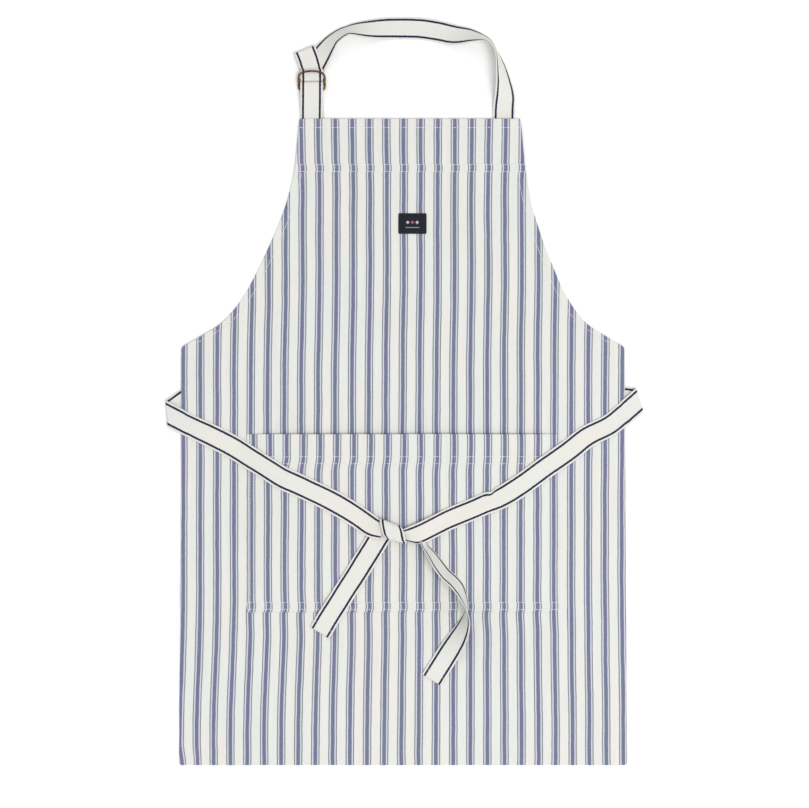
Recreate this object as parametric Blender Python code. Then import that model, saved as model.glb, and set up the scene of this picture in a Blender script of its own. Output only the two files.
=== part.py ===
"""Butcher apron in ticking stripe, laid flat on its back with the front facing up.

Metres, +Z up, +Y towards the neck, +X to the right seen from above.  The origin is
on the surface the apron lies on, in the middle of its footprint.
"""

import math

import bpy
from mathutils import Vector

# ---------------------------------------------------------------- driving sizes

HEM_Y = -0.5236            # bottom edge of the skirt
HIP_Y = 0.0617             # corner where the side meets the armhole
BIB_Y = 0.3808             # top edge of the bib
HALF_WIDTH = 0.3098        # at the hips
SIDE_FLARE = 0.0036        # how much wider each side is at the hem
BODY_SHIFT = -0.002        # middle of the skirt
BIB_LEAN = 0.0100          # the bib lies slightly to the right of the skirt
BIB_LEAN_TOP = 0.310

CLOTH = 0.0008
HEM_FOLD = 0.0008          # second layer behind the edges and the bib
HEM_DEPTH = 0.012
FACING_Y = 0.3040          # lower edge of the facing behind the bib
CLEAR = 0.0003             # between pieces that touch

WAIST_LIFT = 0.0018        # the body rides over the two ties that cross behind it
WAIST_LOW, WAIST_LOW_FLAT = -0.140, -0.030
WAIST_HIGH_FLAT, WAIST_HIGH = 0.075, 0.130
BIB_LIFT = 0.0026          # and over the ends sewn behind the bib
BIB_LIFT_LOW, BIB_LIFT_HIGH = 0.250, 0.345

POCKET_X = -0.0021
POCKET_HALF = 0.2184
POCKET_MOUTH = -0.0602
POCKET_FOOT = -0.3094
POCKET_SEAM = 0.007        # flat band sewn down along the sides
POCKET_FOOT_SEAM = 0.0154
POCKET_CEILING = 0.0088    # underside of the pocket where it stands open

LABEL_X, LABEL_Y = 0.0111, 0.2343
LABEL_WIDTH, LABEL_HEIGHT, LABEL_THICK = 0.0396, 0.0289, 0.0006
LABEL_RADIUS = 0.0012

TAPE_WIDTH = 0.0318
TAPE = 0.0010
TAPE_CLEAR = 0.0009        # a tape lies over the sewing thread on the cloth
TAPE_COLUMNS = 4
TAPE_BRIDGE = 0.006
THREAD_WIDTH = 0.0008
THREAD_THICK = 0.0003
THREAD_CLEAR = 0.00025
THREAD_END = 0.004         # from the end of a row to the edge of the cloth
ARMHOLE_ROW = 0.011        # from the armhole's edge to its row
POCKET_ROW_END = 0.010
POCKET_SIDE_ROW = 0.0045
LABEL_ROW = 0.0018

RING_X = -0.1297
RING_WIRE = 0.0028
RING_HALF = 0.0184
RING_CORNER = 0.0032
RING_DEPTH = 0.0178
RING_SQUARENESS = 0.35     # how flat the arc is: 1 is round, 0 is square
RING_TAPE = 0.0314         # the tape where it runs through the rings
BACK_RING_Y, BACK_RING_Z = 0.4214, 0.0028
FRONT_RING_Y, FRONT_RING_Z = 0.4290, 0.0059
FRONT_RING_TILT = math.radians(6.0)
TAB_FOLD_Y, TAB_FOLD_Z, TAB_FOLD_RADIUS = 0.4283, 0.0044, 0.0039
SEWN_Y = 0.352             # how far tab and strap reach behind the bib

HALTER_AXIS = Vector((0.007, 0.3812, 0.0046))
WAIST_AXIS = Vector((0.0, -0.0155, 0.0048))   # just above the top edge of both front runs

COTTON = ((0.84, 0.82, 0.78, 1.0), 0.9, 0.0)
STRIPE = ((0.55, 0.56, 0.64, 1.0), 0.9, 0.0)
NAVY = ((0.025, 0.028, 0.05, 1.0), 0.8, 0.0)
THREAD = ((0.88, 0.88, 0.88, 1.0), 0.7, 0.0)
BRASS = ((0.32, 0.21, 0.10, 1.0), 0.4, 1.0)


# ---------------------------------------------------------------- scene helpers

def clear_scene():
    for old in list(bpy.data.objects):
        bpy.data.objects.remove(old, do_unlink=True)


def material(name, look):
    colour, roughness, metallic = look
    made = bpy.data.materials.new(name)
    made.use_nodes = True
    shader = made.node_tree.nodes["Principled BSDF"]
    shader.inputs["Base Color"].default_value = colour
    shader.inputs["Roughness"].default_value = roughness
    shader.inputs["Metallic"].default_value = metallic
    return made


def pivot(name, place):
    """An empty on a hinge, which the pieces that turn about it hang from."""
    empty = bpy.data.objects.new(name, None)
    empty.location = place
    bpy.context.collection.objects.link(empty)
    return empty


def place_object(name, data, look, parent, origin):
    piece = bpy.data.objects.new(name, data)
    bpy.context.collection.objects.link(piece)
    data.materials.append(material(name + "_material", look))
    piece.location = origin
    if parent:
        piece.parent = parent
        piece.location = Vector(origin) - parent.location
    return piece


def slab(name, lower, upper, look, parent=None):
    """A closed sheet between two grids of points of the same size."""
    rows, columns = len(lower), len(lower[0])
    origin = parent.location.copy() if parent else Vector()
    verts = [Vector(p) - origin for grid in (lower, upper) for row in grid for p in row]
    top = rows * columns

    def at(row, column, layer=0):
        return layer * top + row * columns + column

    faces = []
    for r in range(rows - 1):
        for c in range(columns - 1):
            low = [at(r, c), at(r + 1, c), at(r + 1, c + 1), at(r, c + 1)]
            faces.append(low)
            faces.append([i + top for i in reversed(low)])
    border = [(0, c) for c in range(columns)]
    border += [(r, columns - 1) for r in range(1, rows)]
    border += [(rows - 1, c) for c in range(columns - 2, -1, -1)]
    border += [(r, 0) for r in range(rows - 2, 0, -1)]
    for here, after in zip(border, border[1:] + border[:1]):
        faces.append([at(*here), at(*after), at(*after, 1), at(*here, 1)])
    mesh = bpy.data.meshes.new(name)
    mesh.from_pydata(verts, [], faces)
    volume = sum(
        verts[f[0]].dot(verts[f[i]].cross(verts[f[i + 1]]))
        for f in faces for i in range(1, len(f) - 1)
    )
    if volume < 0:
        mesh.flip_normals()
    mesh.update()
    return place_object(name, mesh, look, parent, origin)


# ---------------------------------------------------------------- curves

def ease(low, high, value):
    """0 below low, 1 above high, with a soft start and end."""
    t = min(1.0, max(0.0, (value - low) / (high - low)))
    return t * t * (3.0 - 2.0 * t)


def through(points, spacing):
    """Points of a smooth curve through the given ones, evenly spaced along it."""
    points = [Vector(p) for p in points]
    before = [2 * points[0] - points[1]] + points + [2 * points[-1] - points[-2]]
    fine = []
    for i in range(1, len(before) - 2):
        a, b, c, d = before[i - 1:i + 3]
        for step in range(24):
            t = step / 24.0
            fine.append(0.5 * (2 * b + (c - a) * t + (2 * a - 5 * b + 4 * c - d) * t * t
                               + (3 * b - a - 3 * c + d) * t ** 3))
    fine.append(points[-1])
    lengths = [0.0]
    for here, after in zip(fine, fine[1:]):
        lengths.append(lengths[-1] + (after - here).length)
    count = max(2, round(lengths[-1] / spacing))
    placed, k = [], 0
    for n in range(count + 1):
        want = lengths[-1] * n / count
        while k < len(fine) - 2 and lengths[k + 1] < want:
            k += 1
        share = (want - lengths[k]) / max(1e-9, lengths[k + 1] - lengths[k])
        placed.append(fine[k].lerp(fine[k + 1], min(1.0, share)))
    return placed


def headings(points):
    """Unit direction along a line of points, at each of them."""
    found = []
    for i in range(len(points)):
        step = points[min(i + 1, len(points) - 1)] - points[max(i - 1, 0)]
        found.append(step.normalized())
    return found


def side_of(direction):
    """The direction to the left of a flat heading."""
    return Vector((-direction.y, direction.x, 0.0))


# ---------------------------------------------------------------- the cloth body

ARMHOLE = [                # half widths and heights along the armhole
    (0.3098, 0.0617), (0.2860, 0.0750), (0.2500, 0.1000), (0.2165, 0.1500),
    (0.1795, 0.2380), (0.1630, 0.3020), (0.1543, 0.3808),
]


def armhole_points():
    return through([(w, y, 0.0) for w, y in ARMHOLE], 0.004)


ARMHOLE_CURVE = armhole_points()


def half_width(y):
    if y <= HIP_Y:
        return HALF_WIDTH + SIDE_FLARE * (HIP_Y - y) / (HIP_Y - HEM_Y)
    for low, high in zip(ARMHOLE_CURVE, ARMHOLE_CURVE[1:]):
        if y <= high.y:
            return low.x + (high.x - low.x) * (y - low.y) / (high.y - low.y)
    return ARMHOLE_CURVE[-1].x


def centre_x(y):
    share = min(1.0, max(0.0, (y - HIP_Y) / (BIB_LEAN_TOP - HIP_Y)))
    return BODY_SHIFT + BIB_LEAN * share


def body_rest(y):
    """Height of the underside of the hems above the table."""
    waist = ease(WAIST_LOW, WAIST_LOW_FLAT, y) * (1.0 - ease(WAIST_HIGH_FLAT, WAIST_HIGH, y))
    return WAIST_LIFT * waist + BIB_LIFT * ease(BIB_LIFT_LOW, BIB_LIFT_HIGH, y)


def body_top(y):
    return body_rest(y) + CLOTH + HEM_FOLD


def build_body():
    rows = [HEM_Y, HEM_Y + HEM_DEPTH, HEM_Y + HEM_DEPTH + 0.001]
    for low, high, step in ((rows[-1], WAIST_LOW, 0.060), (WAIST_LOW, HIP_Y, 0.016),
                            (HIP_Y, 0.100, 0.005), (0.100, FACING_Y - 0.001, 0.015)):
        count = max(1, round((high - low) / step))
        rows += [low + (high - low) * n / count for n in range(1, count + 1)]
    rows += [FACING_Y + (BIB_Y - FACING_Y) * n / 5 for n in range(6)]
    folded = [y <= HEM_Y + HEM_DEPTH or y >= FACING_Y for y in rows]
    lower, upper = [], []
    for y, double in zip(rows, folded):
        middle, half = centre_x(y), half_width(y)
        inner = half - HEM_DEPTH - 0.001
        offsets = [-half, -half + HEM_DEPTH]
        offsets += [-inner + 2 * inner * n / 8 for n in range(9)]
        offsets += [half - HEM_DEPTH, half]
        rim = [i < 2 or i > len(offsets) - 3 for i in range(len(offsets))]
        fold = [0.0 if (double or edge) else HEM_FOLD for edge in rim]
        lower.append([(middle + x, y, body_rest(y) + f) for x, f in zip(offsets, fold)])
        upper.append([(middle + x, y, body_top(y)) for x in offsets])
    slab("body_panel", lower, upper, STRIPE)


# ---------------------------------------------------------------- the pocket

def pocket_under(x, y):
    """Height of the underside of the pocket."""
    sewn = body_top(y) + CLEAR
    across = min(1.0, abs(x - POCKET_X) / (POCKET_HALF - POCKET_SEAM))
    foot = POCKET_FOOT + POCKET_FOOT_SEAM
    down = 1.0 - min(1.0, max(0.0, (y - foot) / (POCKET_MOUTH - foot)))
    return sewn + (POCKET_CEILING - sewn) * (1.0 - across ** 8) * (1.0 - down ** 16)


def in_pocket(x, y):
    return abs(x - POCKET_X) <= POCKET_HALF and POCKET_FOOT <= y <= POCKET_MOUTH


def cloth_top(x, y):
    return pocket_under(x, y) + CLOTH if in_pocket(x, y) else body_top(y)


def tape_rest(x, y):
    """Height of the underside of a tape, which bridges small steps in the cloth."""
    steps = (-TAPE_BRIDGE, 0.0, TAPE_BRIDGE)
    return max(cloth_top(x + dx, y + dy) for dx in steps for dy in steps) + TAPE_CLEAR


def build_pocket():
    inner = POCKET_HALF - POCKET_SEAM
    offsets = [-inner * math.cos(math.pi * n / 20) for n in range(21)]
    offsets = [-POCKET_HALF] + offsets + [POCKET_HALF]
    foot = POCKET_FOOT + POCKET_FOOT_SEAM
    rows = [POCKET_FOOT]
    rows += [foot + (POCKET_MOUTH - foot) * (1 - math.cos(math.pi / 2 * n / 14)) for n in range(15)]
    lower = [[(POCKET_X + x, y, pocket_under(POCKET_X + x, y)) for x in offsets] for y in rows]
    upper = [[(x, y, z + CLOTH) for x, y, z in row] for row in lower]
    slab("pocket_panel", lower, upper, STRIPE)


# ---------------------------------------------------------------- label and thread

def build_label():
    """Woven label with round corners, sewn flat to the bib."""
    outline = []
    for quarter in range(4):
        turn = math.pi / 2 * quarter
        corner_x = (LABEL_WIDTH / 2 - LABEL_RADIUS) * (1 if quarter in (0, 3) else -1)
        corner_y = (LABEL_HEIGHT / 2 - LABEL_RADIUS) * (1 if quarter < 2 else -1)
        for step in range(4):
            angle = turn + math.pi / 6 * step
            outline.append((LABEL_X + corner_x + LABEL_RADIUS * math.cos(angle),
                            LABEL_Y + corner_y + LABEL_RADIUS * math.sin(angle)))
    z = body_top(LABEL_Y) + CLEAR
    count = len(outline)
    verts = [(x, y, z) for x, y in outline] + [(x, y, z + LABEL_THICK) for x, y in outline]
    faces = [list(range(count - 1, -1, -1)), list(range(count, 2 * count))]
    faces += [[i, (i + 1) % count, (i + 1) % count + count, i + count] for i in range(count)]
    mesh = bpy.data.meshes.new("bib_label")
    mesh.from_pydata(verts, [], faces)
    place_object("bib_label", mesh, NAVY, None, Vector())


def thread_row(name, points, height=cloth_top, parent=None):
    """One row of sewing thread lying on the cloth."""
    lower, upper = [], []
    for point, heading in zip(points, headings(points)):
        across = side_of(heading) * (THREAD_WIDTH / 2)
        pair = [point - across, point + across]
        heights = [height(p.x, p.y) + THREAD_CLEAR for p in pair]
        lower.append([(p.x, p.y, z) for p, z in zip(pair, heights)])
        upper.append([(p.x, p.y, z + THREAD_THICK) for p, z in zip(pair, heights)])
    slab(name, lower, upper, THREAD, parent)


def straight_row(name, start, end, step=0.012):
    start, end = Vector((*start, 0.0)), Vector((*end, 0.0))
    count = max(1, round((end - start).length / step))
    thread_row(name, [start.lerp(end, n / count) for n in range(count + 1)])


def build_threads():
    for name, y in (("bib_hem_stitching", 0.3690), ("facing_stitching_upper", 0.3172),
                    ("facing_stitching_lower", 0.3070)):
        half = half_width(y) - THREAD_END
        straight_row(name, (centre_x(y) - half, y), (centre_x(y) + half, y), 0.06)
    for name, side in (("armhole_stitching_left", -1), ("armhole_stitching_right", 1)):
        row = []
        for point in ARMHOLE_CURVE[4::3]:
            if point.y > FACING_Y:
                break
            row.append(Vector((centre_x(point.y) + side * (point.x - ARMHOLE_ROW), point.y, 0.0)))
        thread_row(name, row)
    left, right = POCKET_X - POCKET_HALF, POCKET_X + POCKET_HALF
    for name, y in (("pocket_hem_stitching_upper", -0.0917), ("pocket_hem_stitching_lower", -0.1008),
                    ("pocket_foot_stitching_upper", -0.2965), ("pocket_foot_stitching_lower", -0.3055)):
        straight_row(name, (left + POCKET_ROW_END, y), (right - POCKET_ROW_END, y))
    for name, x in (("pocket_side_stitching_left", left + POCKET_SIDE_ROW),
                    ("pocket_side_stitching_right", right - POCKET_SIDE_ROW)):
        straight_row(name, (x, POCKET_MOUTH - 0.003), (x, POCKET_FOOT + 0.001))


def build_label_thread():
    """The thread that runs round the label, just inside its edge."""
    half_x, half_y = LABEL_WIDTH / 2 - LABEL_ROW, LABEL_HEIGHT / 2 - LABEL_ROW
    z = body_top(LABEL_Y) + CLEAR + LABEL_THICK + THREAD_CLEAR
    corners = [(-1, -1), (1, -1), (1, 1), (-1, 1)]
    verts = []
    for height in (z, z + THREAD_THICK):
        for inset in (0.0, THREAD_WIDTH * 0.6):
            verts += [(LABEL_X + sx * (half_x - inset), LABEL_Y + sy * (half_y - inset), height)
                      for sx, sy in corners]
    faces = []
    for i in range(4):
        j = (i + 1) % 4
        faces.append([i, 4 + i, 4 + j, j])
        faces.append([8 + i, 8 + j, 12 + j, 12 + i])
        faces.append([i, j, 8 + j, 8 + i])
        faces.append([4 + i, 12 + i, 12 + j, 4 + j])
    mesh = bpy.data.meshes.new("label_stitching")
    mesh.from_pydata(verts, [], faces)
    place_object("label_stitching", mesh, THREAD, None, Vector())


# ---------------------------------------------------------------- tapes

def laid_tape(name, centres, width=TAPE_WIDTH, cut=(None, None), under=None, parent=None):
    """A tape lying on what is below it.  cut gives the direction of each end's edge."""
    turns = headings(centres)
    count = len(centres)
    lower, upper = [], []
    for i, (centre, heading) in enumerate(zip(centres, turns)):
        across = side_of(heading)
        lean = 0.0
        for edge, reach in ((cut[0], i), (cut[1], count - 1 - i)):
            if edge is not None and reach < 6:
                lean += edge.dot(heading) / edge.dot(across) * (1.0 - reach / 6.0)
        low_row, high_row = [], []
        for c in range(TAPE_COLUMNS + 1):
            offset = width * (c / TAPE_COLUMNS - 0.5)
            p = centre + offset * (across + lean * heading)
            z = under(p.x, p.y) if under else tape_rest(p.x, p.y)
            low_row.append((p.x, p.y, z))
            high_row.append((p.x, p.y, z + TAPE))
        lower.append(low_row)
        upper.append(high_row)
    slab(name, lower, upper, COTTON, parent)


def tape_shell(name, middle, normals, parent=None):
    """A tape from the points of its middle surface and the normals there."""
    lower = [[p - n * (TAPE / 2) for p, n in zip(row, out)] for row, out in zip(middle, normals)]
    upper = [[p + n * (TAPE / 2) for p, n in zip(row, out)] for row, out in zip(middle, normals)]
    slab(name, lower, upper, COTTON, parent)


def fold_edge(going, coming):
    """Outward normal and edge direction of the fold that turns one heading into another."""
    outward = (Vector(going) - Vector(coming)).normalized()
    return outward, Vector((-outward.y, outward.x, 0.0))


def side_loop(name, edge_middle, going, coming, low, high, reach):
    """A tape that comes out from under the body, turns over and goes back across it."""
    outward, along = fold_edge(going, coming)
    radius = (high - low) / 2
    slant = Vector(going).dot(along)
    forward = Vector(going).dot(outward)
    width = TAPE_WIDTH / forward
    start = Vector(edge_middle) - outward * radius
    bend = math.pi * radius
    travel = [-reach + reach * n / 4 for n in range(4)]
    travel += [bend * n / 8 for n in range(9)]
    travel += [bend + reach * n / 4 for n in range(1, 5)]
    middle, normals = [], []
    for p in travel:
        turn = min(math.pi, max(0.0, p / radius))
        if p <= 0:
            out = p
        elif p < bend:
            out = radius * math.sin(turn)
        else:
            out = bend - p
        height = low + radius * (1 - math.cos(turn))
        shift = (p - bend / 2) / forward * slant
        row = []
        for c in range(TAPE_COLUMNS + 1):
            q = width * (c / TAPE_COLUMNS - 0.5) + shift
            place = start + outward * out + along * q
            row.append(Vector((place.x, place.y, height)))
        normal = outward * math.sin(turn) - Vector((0, 0, math.cos(turn)))
        middle.append(row)
        normals.append([normal] * len(row))
    tape_shell(name, middle, normals)
    ends = [sum(middle[i], Vector()) / len(middle[i]) for i in (0, -1)]
    return ends, along


# ---------------------------------------------------------------- the waist ties

LOOPS = {                  # middle of the fold's edge, heading out, heading back
    "left": ((-0.3325, -0.0310, 0.0), (-0.810, -0.586, 0.0), (0.888, -0.460, 0.0)),
    "right": ((0.3286, -0.0120, 0.0), (0.991, -0.105, 0.0), (-0.750, -0.661, 0.0)),
}
BACK_RUNS = {              # from the hip where it is sewn to the other side of the body
    "left": [(0.2960, 0.0440), (0.1500, 0.0350), (0.0, 0.0190), (-0.1500, 0.0000), (-0.2500, -0.0030)],
    "right": [(-0.2980, 0.0440), (-0.1500, 0.0370), (0.0, 0.0200), (0.1500, 0.0000), (0.2400, -0.0040)],
}
FRONT_RUNS = {
    "left": [(-0.2485, -0.0736), (-0.2110, -0.0962), (-0.1736, -0.1196), (-0.1463, -0.1323),
             (-0.0932, -0.1582), (-0.0630, -0.1770), (-0.0460, -0.1885)],
    "right": [(0.2863, -0.0480), (0.2555, -0.0641), (0.2303, -0.0830), (0.1939, -0.1093),
              (0.1617, -0.1317), (0.1337, -0.1500), (0.1113, -0.1590), (0.0637, -0.1794),
              (0.0150, -0.2020)],
}
CROSSING_HALF, CROSSING_END = 0.160, 0.210
LOOP_REACH = 0.026


def build_ties(waist):
    low = TAPE / 2
    high = body_top(0.0) + TAPE_CLEAR + TAPE / 2
    for side, (edge, going, coming) in LOOPS.items():
        ends, along = side_loop("tie_side_loop_" + side, edge, going, coming, low, high, LOOP_REACH)
        back_end = ends[0] - Vector(going).normalized() * (CLEAR * 1.5)
        front_start = ends[1] + Vector(coming).normalized() * (CLEAR * 1.5)
        back_end.z = front_start.z = 0.0
        rise = TAPE + CLEAR if side == "right" else 0.0

        def over(x, y, rise=rise):
            return rise * (1.0 - ease(CROSSING_HALF, CROSSING_END, abs(x)))

        back = [(x, y, 0.0) for x, y in BACK_RUNS[side]] + [tuple(back_end)]
        laid_tape("tie_back_run_" + side, through(back, 0.020), cut=(None, along), under=over)
        front = [tuple(front_start)] + [(x, y, 0.0) for x, y in FRONT_RUNS[side]]
        laid_tape("tie_front_run_" + side, through(front, 0.009), cut=(along, None), parent=waist)


KNOT_X, KNOT_Y = -0.0170, -0.1975
KNOT_HALF = (0.0185, 0.0235)
KNOT_HEIGHT = 0.0150
KNOT_TURN = math.radians(-12)


def build_knot(waist):
    """The half knot as one cushion-shaped lump."""
    base = cloth_top(KNOT_X, KNOT_Y) + TAPE_CLEAR
    rings, sides = 8, 16
    verts, faces = [], []
    for r in range(1, rings):
        polar = math.pi * r / rings
        for s in range(sides):
            angle = 2 * math.pi * s / sides
            x = KNOT_HALF[0] * math.sin(polar) ** 0.7 * math.cos(angle)
            y = KNOT_HALF[1] * math.sin(polar) ** 0.7 * math.sin(angle)
            z = -math.copysign(abs(math.cos(polar)) ** 0.8, math.cos(polar)) * KNOT_HEIGHT / 2
            verts.append(Vector((x * math.cos(KNOT_TURN) - y * math.sin(KNOT_TURN),
                                 x * math.sin(KNOT_TURN) + y * math.cos(KNOT_TURN), z)))
    low, high = len(verts), len(verts) + 1
    verts += [Vector((0, 0, -KNOT_HEIGHT / 2)), Vector((0, 0, KNOT_HEIGHT / 2))]
    for s in range(sides):
        t = (s + 1) % sides
        faces.append([low, t, s])
        faces.append([high, (rings - 2) * sides + s, (rings - 2) * sides + t])
        for r in range(rings - 2):
            faces.append([r * sides + s, r * sides + t, (r + 1) * sides + t, (r + 1) * sides + s])
    centre = Vector((KNOT_X, KNOT_Y, base + KNOT_HEIGHT / 2)) - waist.location
    mesh = bpy.data.meshes.new("tie_knot")
    mesh.from_pydata([v + centre for v in verts], [], faces)
    mesh.shade_smooth()
    place_object("tie_knot", mesh, COTTON, waist, waist.location.copy())


LEFT_TAIL = [(-0.0440, -0.2177), (-0.0815, -0.2777), (-0.1190, -0.3378)]
RIGHT_TAIL = [(0.0300, -0.2215), (0.0441, -0.2394), (0.0658, -0.2632), (0.0797, -0.2786),
              (0.0857, -0.2926), (0.0868, -0.3060), (0.0835, -0.3250), (0.0745, -0.3450),
              (0.0560, -0.3750), (0.0378, -0.4043)]
RIGHT_TILTS = [74, 62, 70, 68, 78, 92, 116, 150, 180, 180]
TAIL_BRIDGE = 0.013
END_HEM = 0.010
END_ROW_MARGIN = 0.001


def build_left_tail(waist):
    start = Vector((*LEFT_TAIL[0], 0.0))
    hinge = pivot("tail_left_pivot", (start.x, start.y, tape_rest(start.x, start.y) + TAPE))
    centres = through([(x, y, 0.0) for x, y in LEFT_TAIL], 0.009)
    laid_tape("tie_tail_left", centres, parent=hinge)
    tip, heading = centres[-1], headings(centres)[-1]
    across = side_of(heading) * (TAPE_WIDTH / 2 - END_ROW_MARGIN)
    row = [tip - heading * END_HEM + across * k / 2 for k in (-2, -1, 0, 1, 2)]

    def on_tape(x, y):
        return tape_rest(x, y) + TAPE

    thread_row("tail_left_end_stitching", row, on_tape, hinge)


def twist_at(share):
    """Tilt of the right tail from flat, in radians, at a share of its length."""
    place = share * (len(RIGHT_TILTS) - 1)
    low = min(int(place), len(RIGHT_TILTS) - 2)
    return math.radians(RIGHT_TILTS[low] + (RIGHT_TILTS[low + 1] - RIGHT_TILTS[low]) * (place - low))


def build_right_tail(waist):
    """The right tail stands on its edge beside the knot and turns over halfway along."""
    start = Vector((*RIGHT_TAIL[0], 0.0))
    hinge = pivot("tail_right_pivot", (start.x, start.y, tape_rest(start.x, start.y) + TAPE))
    centres = through([(x, y, 0.0) for x, y in RIGHT_TAIL], 0.008)
    reach = (-TAIL_BRIDGE, 0.0, TAIL_BRIDGE)
    middle, normals = [], []
    for i, (centre, heading) in enumerate(zip(centres, headings(centres))):
        tilt = twist_at(i / (len(centres) - 1))
        across = -side_of(heading)
        wide = across * math.cos(tilt) + Vector((0, 0, math.sin(tilt)))
        normal = Vector((0, 0, math.cos(tilt))) - across * math.sin(tilt)
        ground = max(cloth_top(centre.x + dx, centre.y + dy) for dx in reach for dy in reach)
        rest = ground + TAPE_CLEAR + TAPE / 2 + TAPE_WIDTH / 2 * abs(math.sin(tilt))
        row = [centre + wide * (TAPE_WIDTH * (c / TAPE_COLUMNS - 0.5)) + Vector((0, 0, rest))
               for c in range(TAPE_COLUMNS + 1)]
        middle.append(row)
        normals.append([normal] * len(row))
    tape_shell("tie_tail_right", middle, normals, hinge)
    tip, heading = centres[-1], headings(centres)[-1]
    across = side_of(heading) * (TAPE_WIDTH / 2 - END_ROW_MARGIN)
    row = [tip - heading * END_HEM + across * k / 2 for k in (-2, -1, 0, 1, 2)]

    lying = middle[-1][0].z + TAPE / 2

    def on_tape(x, y):
        return lying

    thread_row("tail_right_end_stitching", row, on_tape, hinge)


# ---------------------------------------------------------------- the rings

def ring_outline():
    """A D-ring seen flat: straight bar, two small corners and a flattened arc."""
    straight = RING_HALF - RING_CORNER
    points = [(-straight + 2 * straight * n / 6, 0.0) for n in range(7)]
    for n in range(1, 4):
        angle = -math.pi / 2 + math.pi / 2 * n / 4
        points.append((straight + RING_CORNER * math.cos(angle), RING_CORNER + RING_CORNER * math.sin(angle)))
    rise = RING_DEPTH - RING_CORNER
    for n in range(21):
        angle = math.pi * n / 20
        points.append((RING_HALF * math.cos(angle), RING_CORNER + rise * math.sin(angle) ** RING_SQUARENESS))
    for n in range(1, 4):
        angle = math.pi + math.pi / 2 * n / 4
        points.append((-straight + RING_CORNER * math.cos(angle), RING_CORNER + RING_CORNER * math.sin(angle)))
    return points


def build_ring(name, place, tilt, parent):
    wire = bpy.data.curves.new(name, "CURVE")
    wire.dimensions = "3D"
    wire.bevel_depth = RING_WIRE / 2
    wire.bevel_resolution = 2
    line = wire.splines.new("POLY")
    outline = ring_outline()
    line.points.add(len(outline) - 1)
    for point, (x, y) in zip(line.points, outline):
        point.co = (x, y * math.cos(tilt), y * math.sin(tilt), 1.0)
    line.use_cyclic_u = True
    place_object(name, wire, BRASS, parent, Vector(place))


# ---------------------------------------------------------------- the neck

def ring_tape_rows(profile, centre=RING_X, width=RING_TAPE):
    """Rows across X of a tape whose middle line is given in Y and Z."""
    middle, normals = [], []
    for i, (y, z) in enumerate(profile):
        y0, z0 = profile[max(i - 1, 0)]
        y1, z1 = profile[min(i + 1, len(profile) - 1)]
        length = math.hypot(y1 - y0, z1 - z0)
        normal = Vector((0.0, -(z1 - z0) / length, (y1 - y0) / length))
        row = [Vector((centre + width * (c / TAPE_COLUMNS - 0.5), y, z)) for c in range(TAPE_COLUMNS + 1)]
        middle.append(row)
        normals.append([normal] * len(row))
    return middle, normals


def build_tab(halter):
    """A short loop of tape that holds the straight bars of both rings."""
    start = BIB_Y + CLEAR * 2
    low, high = TAPE / 2, TAPE * 1.5 + CLEAR
    profile = [(start + (TAB_FOLD_Y - start) * n / 4, low) for n in range(4)]
    for n in range(9):
        angle = -math.pi / 2 + math.pi * n / 8
        profile.append((TAB_FOLD_Y + TAB_FOLD_RADIUS * math.cos(angle),
                        TAB_FOLD_Z + TAB_FOLD_RADIUS * math.sin(angle)))
    top = TAB_FOLD_Z + TAB_FOLD_RADIUS
    for n in range(1, 7):
        share = n / 6
        profile.append((TAB_FOLD_Y + (start - TAB_FOLD_Y) * share,
                        high + (top - high) * (1 - ease(0.0, 1.0, share))))
    tape_shell("ring_tab", *ring_tape_rows(profile), parent=halter)


STRAP_WRAP_Y = 0.4363      # middle of the turn round the bar of the front ring
STRAP_WRAP_END = 0.4440
STRAP_LEVEL = 0.004        # the strap lies level over the last of its way to the bib
STRAP_LOW, STRAP_HIGH = 0.0005, 0.0052
STRAP_ROUTE = [            # middle line of the strap from the rings round to the bib
    (-0.1270, 0.4520), (-0.1185, 0.4660), (-0.1090, 0.4800), (-0.0970, 0.4930), (-0.0777, 0.5032),
    (-0.0469, 0.5058), (-0.0175, 0.5078), (0.0203, 0.5073), (0.0469, 0.5034), (0.0707, 0.4980),
    (0.0945, 0.4957), (0.1169, 0.4885), (0.1300, 0.4680), (0.1370, 0.4400), (0.1404, 0.4144),
    (0.1396, 0.3980), (0.1392, 0.3814),
]
STRAP_TILTS = [0, 12, 30, 42, 22, 6, 0, 0, 0, 8, 36, 66, 82, 62, 42, 10, 0]
FREE_END_START = 0.4515
FREE_END = [(-0.1310, 0.4518), (-0.1345, 0.4640), (-0.1397, 0.4774)]


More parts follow.
